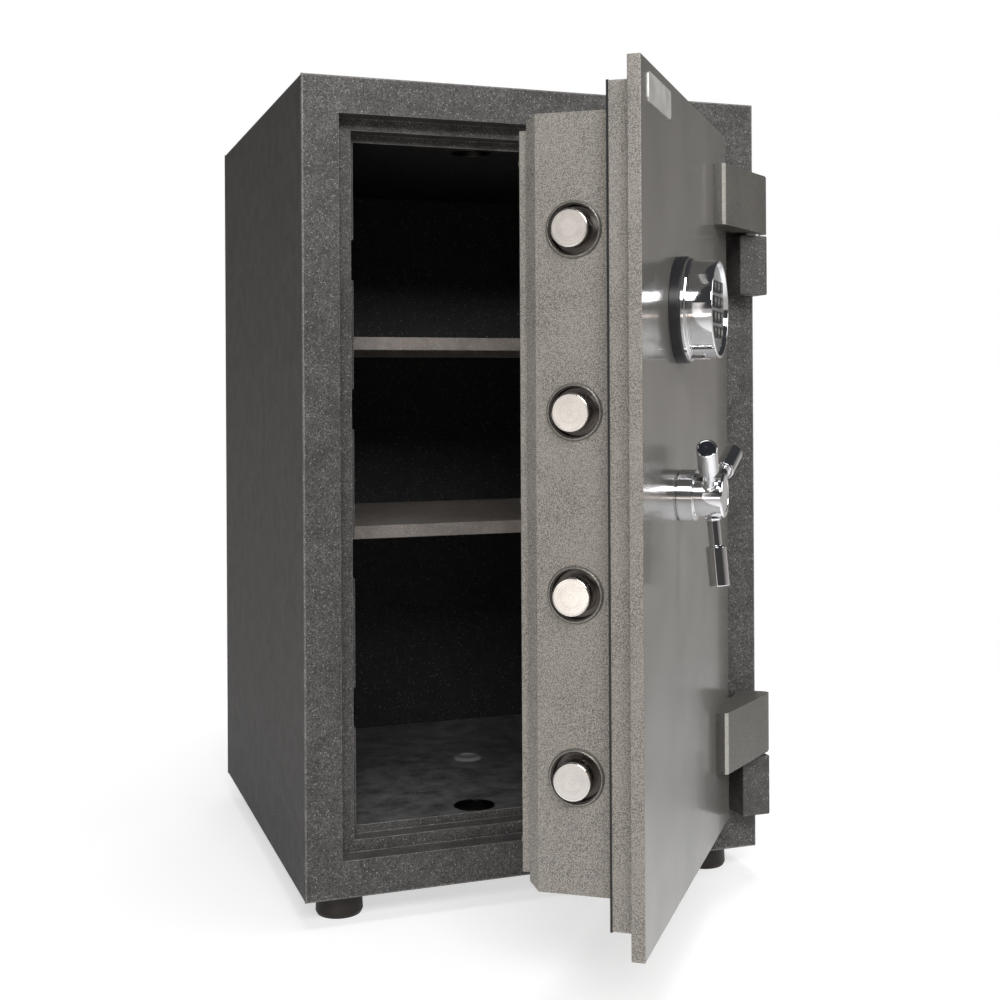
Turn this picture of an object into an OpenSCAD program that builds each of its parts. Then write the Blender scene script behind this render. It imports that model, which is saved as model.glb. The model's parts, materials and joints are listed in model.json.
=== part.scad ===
// Free-standing composite safe with a stepped door, four side bolts, a top and a bottom bolt,
// a three-spoke handle and an electronic keypad lock. Millimetres, +Z up, door side towards -Y.
// The origin is the centre of the body's underside, at the mouth of the anchor hole.
// Door parts are laid out closed, then swung together about the hinge axis by door_open.

/* [Body] */
// Width of the body
body_w = 520; // [430:5:700]
// Depth of the body, from the front rim to the back
body_d = 550; // [450:5:800]
// Height of the body without its feet
body_h = 850; // [700:5:1300]
// Thickness of the outer sheet steel
shell_t = 3; // [2:0.5:4]
// Thickness of the sheet steel that lines the cavity
liner_t = 2; // [1:0.5:3]
// Distance from the back of the body to the cavity's back wall
back_wall_t = 64; // [40:1:100]
// Height of the feet
foot_h = 28; // [20:1:45]
// Diameter of a foot
foot_d = 50; // [40:1:70]
// Distance from a body edge to the nearest foot centre
foot_in = 45; // [40:1:80]

/* [Door frame] */
// Width of the front rim
rim_w = 39; // [30:1:48]
// Depth of the recess that takes the door plate
rim_depth = 25; // [20:1:30]
// Distance from the body's side to the first step's inner edge
step_side = 57; // [52:1:60]
// Distance from the body's top or bottom to the first step's inner edge
step_end = 52; // [50:1:60]
// Depth of the second step
riser_depth = 46; // [38:1:48]
// Distance from the body's side to the jamb
jamb_side = 64; // [62:1:78]
// Distance from the body's top or bottom to the jamb
jamb_end = 61; // [60:1:78]
// Depth at which the jamb ends and the lining starts
jamb_depth = 95; // [94:1:130]
// Thickness of the frame's sheet steel
frame_t = 3; // [2:0.5:4]

/* [Door] */
// Opening angle of the door
door_open = 53; // [0:1:110]
// Gap between the door plate's edge and the rim
door_gap = 7; // [4:0.5:9]
// How far the door plate's face lies behind the front rim
door_recess = 2; // [0:0.5:6]
// Thickness of the door plate
plate_t = 12; // [8:1:14]
// Depth of the door's fire step behind the plate
step_t = 22; // [12:1:24]
// Depth of the boltwork box behind the fire step
box_t = 80; // [76:1:100]
// Thickness of the boltwork box's sheet
box_wall = 3; // [2:0.5:4]
// Height of the back cover pan
cover_t = 8.5; // [6:0.5:12]

/* [Boltwork] */
// Diameter of every bolt
bolt_d = 34; // [26:1:41]
// Distance between neighbouring side bolts
bolt_pitch = 159; // [120:1:160]
// Bolt travel from rest to fully thrown
bolt_throw = 20; // [12:1:20]
// Diameter of the bolt holes in the frame
bolt_hole_d = 43; // [35:1:43]
// Gear module of the pinion and the racks
gear_m = 3; // [3:1:3]
// Number of teeth on the pinion, a multiple of four
pinion_teeth = 16; // [16:4:16]
// Distance from the door plate's free edge to the handle's axis
column_in = 158; // [154:1:170]

/* [Handle and lock] */
// Diameter of the spindle
spindle_d = 16; // [12:1:20]
// Diameter of the handle hub's base
hub_d = 48; // [44:1:56]
// Reach of a spoke's tip from the handle's axis
spoke_reach = 84; // [70:1:100]
// Diameter of a spoke's grip
grip_d = 19; // [16:1:22]
// Height of the keypad above the handle
keypad_up = 173; // [150:1:200]
// Diameter of the keypad's base ring
keypad_d = 100; // [92:1:120]
// Distance that a key travels
key_travel = 1; // [0.5:0.1:1.2]

/* [Hinges] */
// Distance from the hinge axis to the body's side
hinge_in = 15; // [15:0.5:18]
// Distance from the hinge axis to the front rim's face
hinge_out = 19.5; // [19:0.5:24]
// Diameter of a hinge pin
pin_d = 14; // [10:1:16]
// Height of a hinge block
block_h = 66; // [50:1:90]
// Height of a hinge leaf
leaf_h = 65; // [50:1:90]
// Height of the lower hinge block above the body's underside
hinge_low = 46; // [40:1:80]
// Distance from the body's top down to the upper hinge leaf
hinge_high = 86; // [60:1:120]

/* [Fittings] */
// Height of the lower shelf's top face above the body's underside
shelf_low_z = 370; // [250:5:400]
// Height of the upper shelf's top face above the body's underside
shelf_high_z = 586; // [450:5:650]
// Distance from the front rim's face to the shelves
shelf_depth_in = 150; // [135:5:200]
// Height of a shelf's folded edge
shelf_edge = 15; // [10:1:20]
// Diameter of the anchor hole
anchor_d = 16; // [12:1:20]
// Length of the badge
badge_w = 94; // [60:1:110]
// Height of the badge
badge_h = 26; // [15:1:30]
// Distance from the door plate's free edge to the badge
badge_side = 26; // [10:1:60]
// Distance from the door plate's top edge down to the badge
badge_drop = 9; // [8:1:40]

/* [Hidden] */
$fn = 64;

steel_dark = "#3f3e3d";
steel_grey = "#8b8a85";
bright = "#cfcac6";
black = "#1b1b1c";

// Small clearances
slide_gap = 0.3;
run_gap = 0.05;
eps = 1;

// The anchor hole's sleeve and the cap over it, from the cavity's floor down
cavity_floor = jamb_end - 1;
sleeve_top = cavity_floor - 10;
sleeve_d = anchor_d + 6;
cap_r = anchor_d / 2 + 7;
cap_hole_d = 2 * cap_r + 1;

// Body faces
left = -body_w / 2;
front = -body_d / 2;

// The door's layers, as distances from the body's outside
plate_u = rim_w + door_gap;
step_u = max(step_side, step_end) + 6;
box_u = max(jamb_side, jamb_end) + 20;
cover_u = box_u + 12;
rest_gap = 4;
bolt_rest = box_u - jamb_side - rest_gap;
bolt_back = bolt_rest;

// The door's layers, as depths behind the door plate's outer face
door_y = front + door_recess;
step_end_t = plate_t + step_t;
box_end_t = step_end_t + box_t;
bolt_t = step_end_t + 35;
bolt_y = door_y + bolt_t;
bolt_r = bolt_d / 2;

// The handle's axis
column_x = left + plate_u + column_in;
handle_z = body_h / 2;
keypad_z = handle_z + keypad_up;

// The hinge axis
hinge_x = body_w / 2 - hinge_in;
hinge_y = front - hinge_out;
washer_gap = 3;
upper_block_z = body_h - hinge_high - leaf_h - washer_gap - block_h;

// Boltwork, measured in the door from its free side
box_x = left + box_u;
box_in_x = box_x + box_wall;
bushing_len = 20;
carrier_x = box_x + bushing_len + bolt_throw + 2;
carrier_t = 10;
carrier_reach = bolt_pitch * 1.5 + bolt_r + 10;
side_z = [for (i = [-1.5:1:1.5]) handle_z + i * bolt_pitch];
bushing_lip_d = bolt_d + 17;
bushing_out_d = bolt_d + 11;
top_z = body_h - box_u;
bottom_z = box_u;
bolt_inside = bushing_len + bolt_throw + 16;
foot_plate_h = 12;

// Rack and pinion
pitch_r = gear_m * pinion_teeth / 2;
tooth_p = PI * gear_m;
backlash = 0.5;
pinion_add = gear_m * 0.9;
rack_add = gear_m * 0.8;
tooth_ded = gear_m * 1.2;
pressure = 20;
rack_bar = 17;
rack_t0 = bolt_t - 11;
rack_t1 = bolt_t;
rod_t0 = bolt_t + 2;
rod_t1 = bolt_t + 13;
plate_back_t = step_end_t + 6;
mount_plate_r = 54;
rack_end = 42;
rod_start = -34;
guide_h = 20;
guide_wall = 5;

// Lock
lock_t1 = rack_t1 - 1;
lock_w = 61;
lock_h = 85;
lock_right = 17;
lock_bolt_w = 12;
lock_bolt_t = 16;
lock_bolt_len = 28;
lock_throw = 14;
finger_h = 23;
finger_gap = 4.5;
lock_z0 = keypad_z - lock_h / 2;
finger_end = column_x + lock_bolt_w / 2 + 6.5;

// Keypad
base_h = 10;
bezel_h = 39;
bezel_r = keypad_d / 2 - 4.5;
face_h = 35;
face_t = 2;
face_r = bezel_r - 4;
board_h = 30;
key_w = 13;
key_h = 10;
key_pitch_x = 17;
key_pitch_z = 14;
key_top_h = 37.5;
drawer_w = 30;
drawer_h0 = 12;
drawer_h1 = 27;
drawer_z0 = -bezel_r;
drawer_len = 28;

// Handle
hub_base_h = 16;
hub_h = 43;
hub_front_r = hub_d / 2 - 3.5;
spoke_out = 29;
spoke_angles = [26, 146, 266];
spoke_root = 12;
neck_r = 6;
grip_from = spoke_reach - 37;
spoke_tilt = 6;
spindle_in = 30;
spindle_end_t = rod_t1 + 4;

// Swings the closed door's parts to the opening angle
module on_door() {
    translate([hinge_x, hinge_y, 0])
        rotate([0, 0, door_open])
            translate([-hinge_x, -hinge_y, 0])
                children();
}

// A flat outline in the X-Z plane, made solid from depth t0 to depth t1 behind the door's face
module in_door(t0, t1) {
    translate([0, door_y + t1, 0])
        rotate([90, 0, 0])
            linear_extrude(t1 - t0)
                children();
}

// A turned shape that stands out of the door's face at x, z
module out_of_door(x, z) {
    translate([x, door_y, z])
        rotate([90, 0, 0])
            children();
}

// A rectangle in the X-Z plane that is inset from the body's outline
module inset_rect(u) {
    translate([left + u, u])
        square([body_w - 2 * u, body_h - 2 * u]);
}

module rect_from(x0, z0, x1, z1) {
    translate([x0, z0])
        square([x1 - x0, z1 - z0]);
}

// A block given by its inset from the sides and ends and its depths behind the front
module inset_block(side, end, d0, d1) {
    translate([left + side, front + d0, end])
        cube([body_w - 2 * side, d1 - d0, body_h - 2 * end]);
}

module ring(side0, end0, side1, end1, d0, d1) {
    difference() {
        inset_block(side0, end0, d0, d1);
        inset_block(side1, end1, d0 - eps, d1 + eps);
    }
}

// ---------------------------------------------------------------- body

// Where the bolts enter the frame: round holes, with a lead-in on the free side
module bolt_pockets(hole_d) {
    pocket_end = box_u - bolt_rest - bolt_throw - 4;
    for (z = side_z) {
        translate([left + pocket_end, bolt_y, z])
            rotate([0, 90, 0])
                cylinder(d = hole_d, h = jamb_side - pocket_end + eps);
        translate([left + step_side, front + riser_depth - eps, z - hole_d / 2])
            cube([jamb_side - step_side + eps, bolt_y - front - riser_depth + eps, hole_d]);
    }
    for (z = [pocket_end, body_h - jamb_end - eps])
        translate([column_x, bolt_y, z])
            cylinder(d = hole_d, h = jamb_end - pocket_end + eps);
}

module outer_shell() {
    color(steel_dark)
        difference() {
            ring(0, 0, shell_t, shell_t, frame_t, body_d - shell_t);
            floor_holes();
        }
}

// Holes for the foot screws and the anchor sleeve
module floor_holes() {
    at_feet()
        translate([0, 0, -eps])
            cylinder(d = 8, h = 14 + eps);
    translate([0, 0, -eps])
        cylinder(d = sleeve_d, h = sleeve_top + eps);
}

// The hole for the anchor cap, from the sleeve up through the lining
module cap_hole() {
    translate([0, 0, sleeve_top])
        cylinder(d = cap_hole_d, h = 20);
}

module back_panel() {
    color(steel_dark)
        inset_block(0, 0, body_d - shell_t, body_d);
}

module front_frame() {
    t = frame_t;
    color(steel_dark)
        difference() {
            union() {
                ring(0, 0, rim_w, rim_w, 0, t);
                ring(rim_w - t, rim_w - t, rim_w, rim_w, 0, rim_depth + t);
                ring(rim_w - t, rim_w - t, step_side, step_end, rim_depth, rim_depth + t);
                ring(step_side - t, step_end - t, step_side, step_end, rim_depth, riser_depth + t);
                ring(step_side - t, step_end - t, jamb_side, jamb_end, riser_depth, riser_depth + t);
                ring(jamb_side - t, jamb_end - t, jamb_side, jamb_end, riser_depth, jamb_depth);
            }
            bolt_pockets(bolt_hole_d);
        }
}

// Fire-resistant composite between the outer sheet, the frame and the lining
module wall_filling() {
    t = frame_t;
    lining = liner_t + 1;
    color("#9a978f")
        difference() {
            inset_block(shell_t, shell_t, t, body_d - shell_t);
            inset_block(rim_w - t, rim_w - t, 0, rim_depth + t);
            inset_block(step_side - t, step_end - t, 0, riser_depth + t);
            inset_block(jamb_side - t, jamb_end - t, 0, jamb_depth);
            inset_block(jamb_side - lining, jamb_end - lining, 0, body_d - back_wall_t + liner_t);
            bolt_pockets(bolt_hole_d);
            floor_holes();
            cap_hole();
        }
}

// The lining stands one millimetre outside the jamb, which leaves a fine ledge
module inner_liner() {
    color(black)
        difference() {
            inset_block(jamb_side - liner_t - 1, jamb_end - liner_t - 1, jamb_depth,
                body_d - back_wall_t + liner_t);
            inset_block(jamb_side - 1, jamb_end - 1, jamb_depth - eps, body_d - back_wall_t);
            cap_hole();
        }
}

module at_feet() {
    for (x = [-1, 1], y = [-1, 1])
        translate([x * (body_w / 2 - foot_in), y * (body_d / 2 - foot_in), 0])
            children();
}

module feet() {
    r = foot_d / 2;
    color(black)
        at_feet()
            rotate_extrude()
                polygon([
                    [9, -foot_h], [r - 3, -foot_h], [r - 1, -foot_h + 2], [r, -5], [r, -1],
                    [r - 1, 0], [4, 0], [4, -foot_h + 12], [9, -foot_h + 12]
                ]);
}

module foot_screws() {
    color(bright)
        at_feet() {
            translate([0, 0, -foot_h + 7])
                cylinder(d = 14, h = 5);
            translate([0, 0, -foot_h + 12])
                cylinder(d = 8, h = foot_h);
        }
}

module shelf(z) {
    t = 2;
    w = body_w - 2 * jamb_side + 1;
    y0 = front + shelf_depth_in;
    y1 = front + body_d - back_wall_t - 0.5;
    translate([-w / 2, y0, z - t])
        cube([w, y1 - y0, t]);
    for (y = [y0, y1 - t])
        translate([-w / 2, y, z - shelf_edge])
            cube([w, t, shelf_edge]);
}

module shelf_upper() {
    color("#857f78")
        shelf(shelf_high_z);
}

module shelf_lower() {
    color("#857f78")
        shelf(shelf_low_z);
}

// Angle strips on the side walls, under each shelf
module shelf_brackets() {
    leg = 14;
    t = 2;
    wall_x = body_w / 2 - jamb_side + 1;
    y0 = front + shelf_depth_in + 6;
    y1 = front + body_d - back_wall_t - 6;
    color(black)
        for (z = [shelf_low_z, shelf_high_z], side = [0, 1])
            mirror([side, 0, 0])
                translate([wall_x, y0, z - 2])
                    rotate([-90, 0, 0])
                        linear_extrude(y1 - y0)
                            polygon([[0, 0], [0, leg], [-t, leg], [-t, t], [-leg, t], [-leg, 0]]);
}

module anchor_sleeve() {
    color(bright)
        difference() {
            cylinder(d = sleeve_d, h = sleeve_top);
            translate([0, 0, -eps])
                cylinder(d = anchor_d, h = sleeve_top + 2 * eps);
        }
}

// Push-in cap over the anchor hole, in the cavity's floor
module anchor_plug() {
    r = cap_r;
    color("#5a5755")
        translate([0, 0, cavity_floor])
            rotate_extrude()
                polygon([
                    [0, -8], [r, -8], [r, 0], [r + 3, 0], [r + 3, 1.5], [r, 3.5], [r - 3, 4], [0, 4]
                ]);
}

// ---------------------------------------------------------------- hinges

module hinge_block(z) {
    color(steel_dark)
        translate([hinge_x, hinge_y, z])
            difference() {
                translate([-20, -15, 0])
                    cube([34, 15 + hinge_out, block_h]);
                translate([0, 0, -eps])
                    cylinder(d = pin_d, h = block_h + 2 * eps);
            }
}

module hinge_block_upper() {
    hinge_block(upper_block_z);
}

module hinge_block_lower() {
    hinge_block(hinge_low);
}

module at_hinges() {
    for (z = [hinge_low, upper_block_z])
        translate([hinge_x, hinge_y, z])
            children();
}

module hinge_pins() {
    color(bright)
        at_hinges()
            cylinder(d = pin_d, h = block_h + washer_gap + leaf_h - 15);
}

module hinge_washers() {
    color(bright)
        at_hinges()
            translate([0, 0, block_h])
                difference() {
                    cylinder(d = pin_d + 10, h = washer_gap - 0.1);
                    translate([0, 0, -eps])
                        cylinder(d = pin_d + 2 * run_gap, h = washer_gap + 2 * eps);
                }
}

// The leaf's outline round the hinge axis: thin on the door, thick at the pin
module leaf_outline() {
    face = hinge_out + door_recess;
    clear_r = hinge_out - 1.5;
    edge_x = rim_w + door_gap - hinge_in;
    side = 14;
    polygon(concat(
        [
            [-111, face], [-111, face - 9], [-109.5, face - 11.5], [-107, face - 12.5],
            [-15, -13.5], [-1, -17.5], [side - 4, -17.5], [side, -13.5]
        ],
        [for (a = [acos(side / clear_r):6:90]) clear_r * [cos(a), sin(a)]],
        [[0, clear_r], [-edge_x, clear_r], [-edge_x, face]]
    ));
}

module hinge_leaf(z) {
    color(steel_grey)
        on_door()
            translate([hinge_x, hinge_y, z + block_h + washer_gap])
                difference() {
                    linear_extrude(leaf_h)
                        leaf_outline();
                    translate([0, 0, -eps])
                        cylinder(d = pin_d + 2 * run_gap, h = leaf_h - 14 + eps);
                }
}

module hinge_leaf_upper() {
    hinge_leaf(upper_block_z);
}

module hinge_leaf_lower() {
    hinge_leaf(hinge_low);
}

// ---------------------------------------------------------------- door

// Holes for the spindle's bushing and the keypad's cable
module through_holes() {
    translate([column_x, handle_z])
        circle(d = spindle_d + 6);
    translate([column_x, keypad_z])
        circle(d = 10);
}

module door_plate() {
    color(steel_grey)
        on_door()
            in_door(0, plate_t)
                difference() {
                    inset_rect(plate_u);
                    through_holes();
                }
}

module door_step() {
    skin = 2.5;
    color(steel_grey)
        on_door() {
            in_door(step_end_t - skin, step_end_t)
                difference() {
                    inset_rect(step_u);
                    through_holes();
                }
            in_door(plate_t, step_end_t - skin)
                difference() {
                    inset_rect(step_u);
                    inset_rect(step_u + skin);
                }
        }
}

module door_filling() {
    skin = 2.5;
    color("#9a978f")
        on_door()
            in_door(plate_t, step_end_t - skin)
                difference() {
                    inset_rect(step_u + skin);
                    through_holes();
                }
}

// A block inset by u whose back edges are chamfered all round
module chamfered_block(u, t0, t1, across, deep) {
    intersection() {
        translate([0, 0, u])
            linear_extrude(body_h - 2 * u)
                polygon([
                    [left + u, door_y + t0], [left + u, door_y + t1 - deep],
                    [left + u + across, door_y + t1], [-left - u - across, door_y + t1],
                    [-left - u, door_y + t1 - deep], [-left - u, door_y + t0]
                ]);
        translate([left, 0, 0])
            rotate([90, 0, 90])
                linear_extrude(body_w)
                    polygon([
                        [door_y + t0, u], [door_y + t1 - deep, u],
                        [door_y + t1, u + across], [door_y + t1, body_h - u - across],
                        [door_y + t1 - deep, body_h - u], [door_y + t0, body_h - u]
                    ]);
    }
}

module door_box() {
    color(steel_grey)
        on_door()
            difference() {
                chamfered_block(box_u, step_end_t, box_end_t, 6.5, 10);
                chamfered_block(box_u + box_wall, step_end_t - eps, box_end_t - box_wall, 6.5, 10);
                in_door(box_end_t - box_wall - eps, box_end_t + eps)
                    inset_rect(box_u + 30);
                at_side_bolts()
                    translate([0, 0, -box_wall - eps])
                        cylinder(d = bushing_out_d, h = box_wall + 2 * eps);
                at_end_bolts()
                    translate([0, 0, -box_wall - eps])
                        cylinder(d = bushing_out_d, h = box_wall + 2 * eps);
            }
}

// Local +Z points out of the box's free side, with z = 0 on its outer face
module at_side_bolts() {
    for (z = side_z)
        translate([box_x, bolt_y, z])
            rotate([0, -90, 0])
                children();
}

// Local +Z points out of the box's top or bottom, with z = 0 on its outer face
module at_end_bolts() {
    translate([column_x, bolt_y, top_z])
        children();
    translate([column_x, bolt_y, bottom_z])
        rotate([180, 0, 0])
            children();
}

// The steel plate that carries the lock and the rod guides
module mount_plate() {
    color("#77736d")
        on_door()
            in_door(step_end_t, plate_back_t)
                difference() {
                    rect_from(column_x - mount_plate_r, guide_z(-1) - 5,
                        column_x + mount_plate_r, guide_z(1) + guide_h + 5);
                    through_holes();
                }
}

module back_cover() {
    skin = 2;
    color(steel_grey)
        on_door() {
            in_door(box_end_t + cover_t - skin, box_end_t + cover_t)
                inset_rect(cover_u);
            in_door(box_end_t, box_end_t + cover_t - skin)
                difference() {
                    inset_rect(cover_u);
                    inset_rect(cover_u + skin);
                    at_cover_screws()
                        circle(d = 5);
                }
        }
}

module at_cover_screws() {
    u = cover_u + 8;
    for (x = [left + u, -left - u], z = [u + 20, body_h / 2, body_h - u - 20])
        translate([x, z])
            children();
    for (z = [u, body_h - u])
        translate([0, z])
            children();
}

module cover_screws() {
    color(bright)
        on_door() {
            in_door(box_end_t + cover_t, box_end_t + cover_t + 2.5)
                at_cover_screws()
                    circle(d = 9);
            in_door(box_end_t, box_end_t + cover_t - 2)
                at_cover_screws()
                    circle(d = 5);
        }
}

module bolt_bushing() {
    rotate_extrude()
        polygon([
            [bolt_r + run_gap, -bushing_len], [bushing_out_d / 2, -bushing_len],
            [bushing_out_d / 2, 0], [bushing_lip_d / 2, 0], [bushing_lip_d / 2, 1],
            [bushing_lip_d / 2 - 1.5, 2.5], [bushing_out_d / 2 + 0.5, 2.5],
            [bushing_out_d / 2 - 1, 1], [bushing_out_d / 2 - 1.5, -7], [bolt_r + run_gap, -8]
        ]);
}

module bolt_bushings() {
    color("#5d5a57")
        on_door() {
            at_side_bolts()
                bolt_bushing();
            at_end_bolts()
                bolt_bushing();
        }
}

module badge_plate() {
    x0 = left + plate_u + badge_side;
    z1 = body_h - plate_u - badge_drop;
    r = 4;
    color(bright)
        on_door()
            in_door(-1.2, 0)
                hull()
                    for (x = [x0 + r, x0 + badge_w - r], z = [z1 - badge_h + r, z1 - r])
                        translate([x, z])
                            circle(r, $fn = 32);
}

// ---------------------------------------------------------------- keypad and lock

module keypad_base() {
    r = keypad_d / 2;
    color(black)
        on_door()
            out_of_door(column_x, keypad_z)
                rotate_extrude()
                    polygon([[5, 0], [r, 0], [r, base_h - 1.5], [r - 1.5, base_h], [5, base_h]]);
}

module keypad_bezel() {
    color("#e4e3e2")
        on_door()
            out_of_door(column_x, keypad_z)
                difference() {
                    rotate_extrude()
                        polygon([
                            [bezel_r - 6, base_h], [bezel_r + 3, base_h], [bezel_r + 3, base_h + 3],
                            [bezel_r + 1, base_h + 5], [bezel_r, base_h + 6], [bezel_r, bezel_h - 2],
                            [bezel_r - 1, bezel_h], [bezel_r - 2.5, bezel_h], [face_r, face_h],
                            [face_r, face_h - face_t], [bezel_r - 6, face_h - face_t]
                        ]);
                    translate([-drawer_w / 2 - slide_gap, drawer_z0 - 5, drawer_h0 - slide_gap])
                        cube([
                            drawer_w + 2 * slide_gap, 20,
                            drawer_h1 - drawer_h0 + 2 * slide_gap
                        ]);
                }
}

// Column and row of each key, counted from the keypad's centre
function key_at(i) = [(i % 3 - 1) * key_pitch_x, (1.5 - floor(i / 3)) * key_pitch_z];

module keypad_face() {
    w = key_w + 2 * slide_gap;
    h = key_h + 2 * slide_gap;
    color("#26272a")
        on_door()
            out_of_door(column_x, keypad_z)
                translate([0, 0, face_h - face_t])
                    difference() {
                        cylinder(r = face_r - 0.2, h = face_t);
                        for (i = [0:11])
                            translate(concat(key_at(i), 0) - [w / 2, h / 2, eps])
                                cube([w, h, face_t + 2 * eps]);
                    }
}

module keypad_board() {
    r = bezel_r - 8;
    color("#2f5a3a")
        on_door()
            out_of_door(column_x, keypad_z) {
                translate([0, 0, board_h - 1.6])
                    cylinder(r = r, h = 1.6);
                for (a = [30, 150, 90])
                    rotate(a)
                        translate([r - 6, 0, base_h])
                            cylinder(d = 5, h = board_h - 1.6 - base_h);
            }
}

// Sealed lead from the keypad's board to the lock
module keypad_cable() {
    color(black)
        on_door()
            in_door(-board_h + 1.6, plate_back_t)
                translate([column_x, keypad_z])
                    circle(d = 5);
}

module keypad_key(i) {
    color("#c9c9cb")
        on_door()
            out_of_door(column_x, keypad_z)
                translate(concat(key_at(i), board_h + key_travel + 0.4) - [key_w / 2, key_h / 2, 0])
                    cube([key_w, key_h, key_top_h - board_h - key_travel - 0.4]);
}

// Tray for the battery, which slides out of the keypad's underside
module battery_drawer() {
    t = 2;
    color("#e4e3e2")
        on_door()
            out_of_door(column_x, keypad_z)
                translate([-drawer_w / 2, drawer_z0 - 1, drawer_h0])
                    difference() {
                        cube([drawer_w, drawer_len, drawer_h1 - drawer_h0]);
                        translate([t, 2 * t, t])
                            cube([drawer_w - 2 * t, drawer_len - 3 * t, drawer_h1 - drawer_h0]);
                    }
}

module lock_body() {
    x1 = column_x + lock_right;
    color("#b8b3a6")
        on_door()
            difference() {
                in_door(plate_back_t, lock_t1)
                    rect_from(x1 - lock_w, lock_z0, x1, lock_z0 + lock_h);
                in_door(lock_bolt_t0() - slide_gap, lock_bolt_t0() + lock_bolt_t + slide_gap)
                    rect_from(column_x - lock_bolt_w / 2 - slide_gap, lock_z0 - eps,
                        column_x + lock_bolt_w / 2 + slide_gap, lock_z0 + lock_bolt_len + 1);
            }
}

function lock_bolt_t0() = lock_t1 - lock_bolt_t - 4;

// Blocks the carrier's finger when it is let down
module lock_bolt() {
    color("#b08d57")
        on_door()
            in_door(lock_bolt_t0(), lock_bolt_t0() + lock_bolt_t)
                rect_from(column_x - lock_bolt_w / 2, lock_z0,
                    column_x + lock_bolt_w / 2, lock_z0 + lock_bolt_len);
}

// ---------------------------------------------------------------- handle

module handle_hub() {
    r = hub_d / 2;
    color("#e4e3e2")
        on_door()
            difference() {
                out_of_door(column_x, handle_z)
                    rotate_extrude()
                        polygon([
                            [0, spindle_in], [spindle_d / 2, spindle_in], [spindle_d / 2, 0.3],
                            [r, 0.3], [r, hub_base_h - 1], [r - 1, hub_base_h],
                            [hub_front_r, hub_base_h], [hub_front_r, hub_h - 3],
                            [hub_front_r - 1, hub_h - 1], [hub_front_r - 3, hub_h], [0, hub_h]
                        ]);
                at_spokes()
                    translate([0, 0, spoke_root])
                        cylinder(r = neck_r, h = hub_d);
            }
}

// Local +Z runs outwards along each spoke, from the handle's axis
module at_spokes() {
    for (a = spoke_angles)
        out_of_door(column_x, handle_z)
            rotate(a)
                translate([0, 0, spoke_out])
                    rotate([0, 90 - spoke_tilt, 0])
                        children();
}

module handle_spokes() {
    g = grip_d / 2;
    color("#e4e3e2")
        on_door()
            at_spokes()
                rotate_extrude()
                    polygon([
                        [0, spoke_root], [neck_r, spoke_root], [neck_r, grip_from],
                        [g - 1, grip_from], [g, grip_from + 1.5], [g, spoke_reach - 1.5],
                        [g - 1.5, spoke_reach], [2, spoke_reach], [0, spoke_reach - 1.5]
                    ]);
}

module spindle() {
    color(bright)
        on_door()
            in_door(-spindle_in, spindle_end_t)
                translate([column_x, handle_z])
                    circle(d = spindle_d);
}

module spindle_bushing() {
    color("#b08d57")
        on_door()
            in_door(0, plate_back_t)
                translate([column_x, handle_z])
                    difference() {
                        circle(d = spindle_d + 6);
                        circle(d = spindle_d + 2 * run_gap);
                    }
}

function involute(a) = tan(a) * 180 / PI - a;

// Half a tooth's angle at radius r, and the involute flank from the base circle outwards
function half_tooth(r) = let(
    base_r = pitch_r * cos(pressure),
    half_pitch = 90 / pinion_teeth - backlash / 4 / pitch_r * 180 / PI
) half_pitch + involute(pressure) - involute(acos(min(1, base_r / r)));

module drive_pinion() {
    base_r = pitch_r * cos(pressure);
    root_r = pitch_r - tooth_ded;
    tip_r = pitch_r + pinion_add;
    radii = concat([root_r], [for (i = [0:5]) base_r + (tip_r - base_r) * i / 5]);
    color("#a39d95")
        on_door()
            in_door(rack_t0, rod_t1)
                translate([column_x, handle_z])
                    difference() {
                        polygon([
                            for (k = [0:pinion_teeth - 1], side = [-1, 1], i = [0:6])
                                let(
                                    r = side < 0 ? radii[i] : radii[6 - i],
                                    a = k * 360 / pinion_teeth + side * half_tooth(max(r, base_r))
                                ) r * [cos(a), sin(a)]
                        ]);
                        circle(d = spindle_d);
                    }
}

// ---------------------------------------------------------------- boltwork

// Teeth of a rack along +X with its pitch line at y = 0, pointing to -Y, with a gap at x = 0
function rack_teeth(teeth) = let(
    half = tooth_p / 4 - backlash / 4,
    lean = tan(pressure)
) [
    for (i = [-teeth:teeth - 1])
        let(x = (i + 0.5) * tooth_p)
            each [
                [x - half - tooth_ded * lean, tooth_ded],
                [x - half + rack_add * lean, -rack_add],
                [x + half - rack_add * lean, -rack_add],
                [x + half + tooth_ded * lean, tooth_ded]
            ]
];

// Upright bar that carries the four side bolts, with the finger that the lock stops
module bolt_carrier() {
    finger_z1 = lock_z0 - finger_gap;
    color("#8f8a82")
        on_door()
            difference() {
                union() {
                    in_door(bolt_t - bolt_r, bolt_t + bolt_r)
                        rect_from(carrier_x, handle_z - carrier_reach,
                            carrier_x + carrier_t, handle_z + carrier_reach);
                    in_door(lock_bolt_t0(), lock_bolt_t0() + 12)
                        rect_from(carrier_x + carrier_t, finger_z1 - finger_h, finger_end, finger_z1);
                }
                in_door(lock_bolt_t0() - eps, lock_bolt_t0() + 12 + eps)
                    rect_from(column_x - lock_bolt_w / 2 - 0.5, finger_z1 - 12,
                        column_x + lock_bolt_w / 2 + 0.5, finger_z1 + eps);
            }
}

module side_rack() {
    x0 = carrier_x + carrier_t - column_x;
    back = tooth_ded + rack_bar;
    color("#a39d95")
        on_door()
            in_door(rack_t0, rack_t1)
                translate([column_x, handle_z + pitch_r])
                    polygon(concat(
                        [[x0, back], [x0, tooth_ded]], rack_teeth(4),
                        [[rack_end, tooth_ded], [rack_end, back]]
                    ));
}

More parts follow.
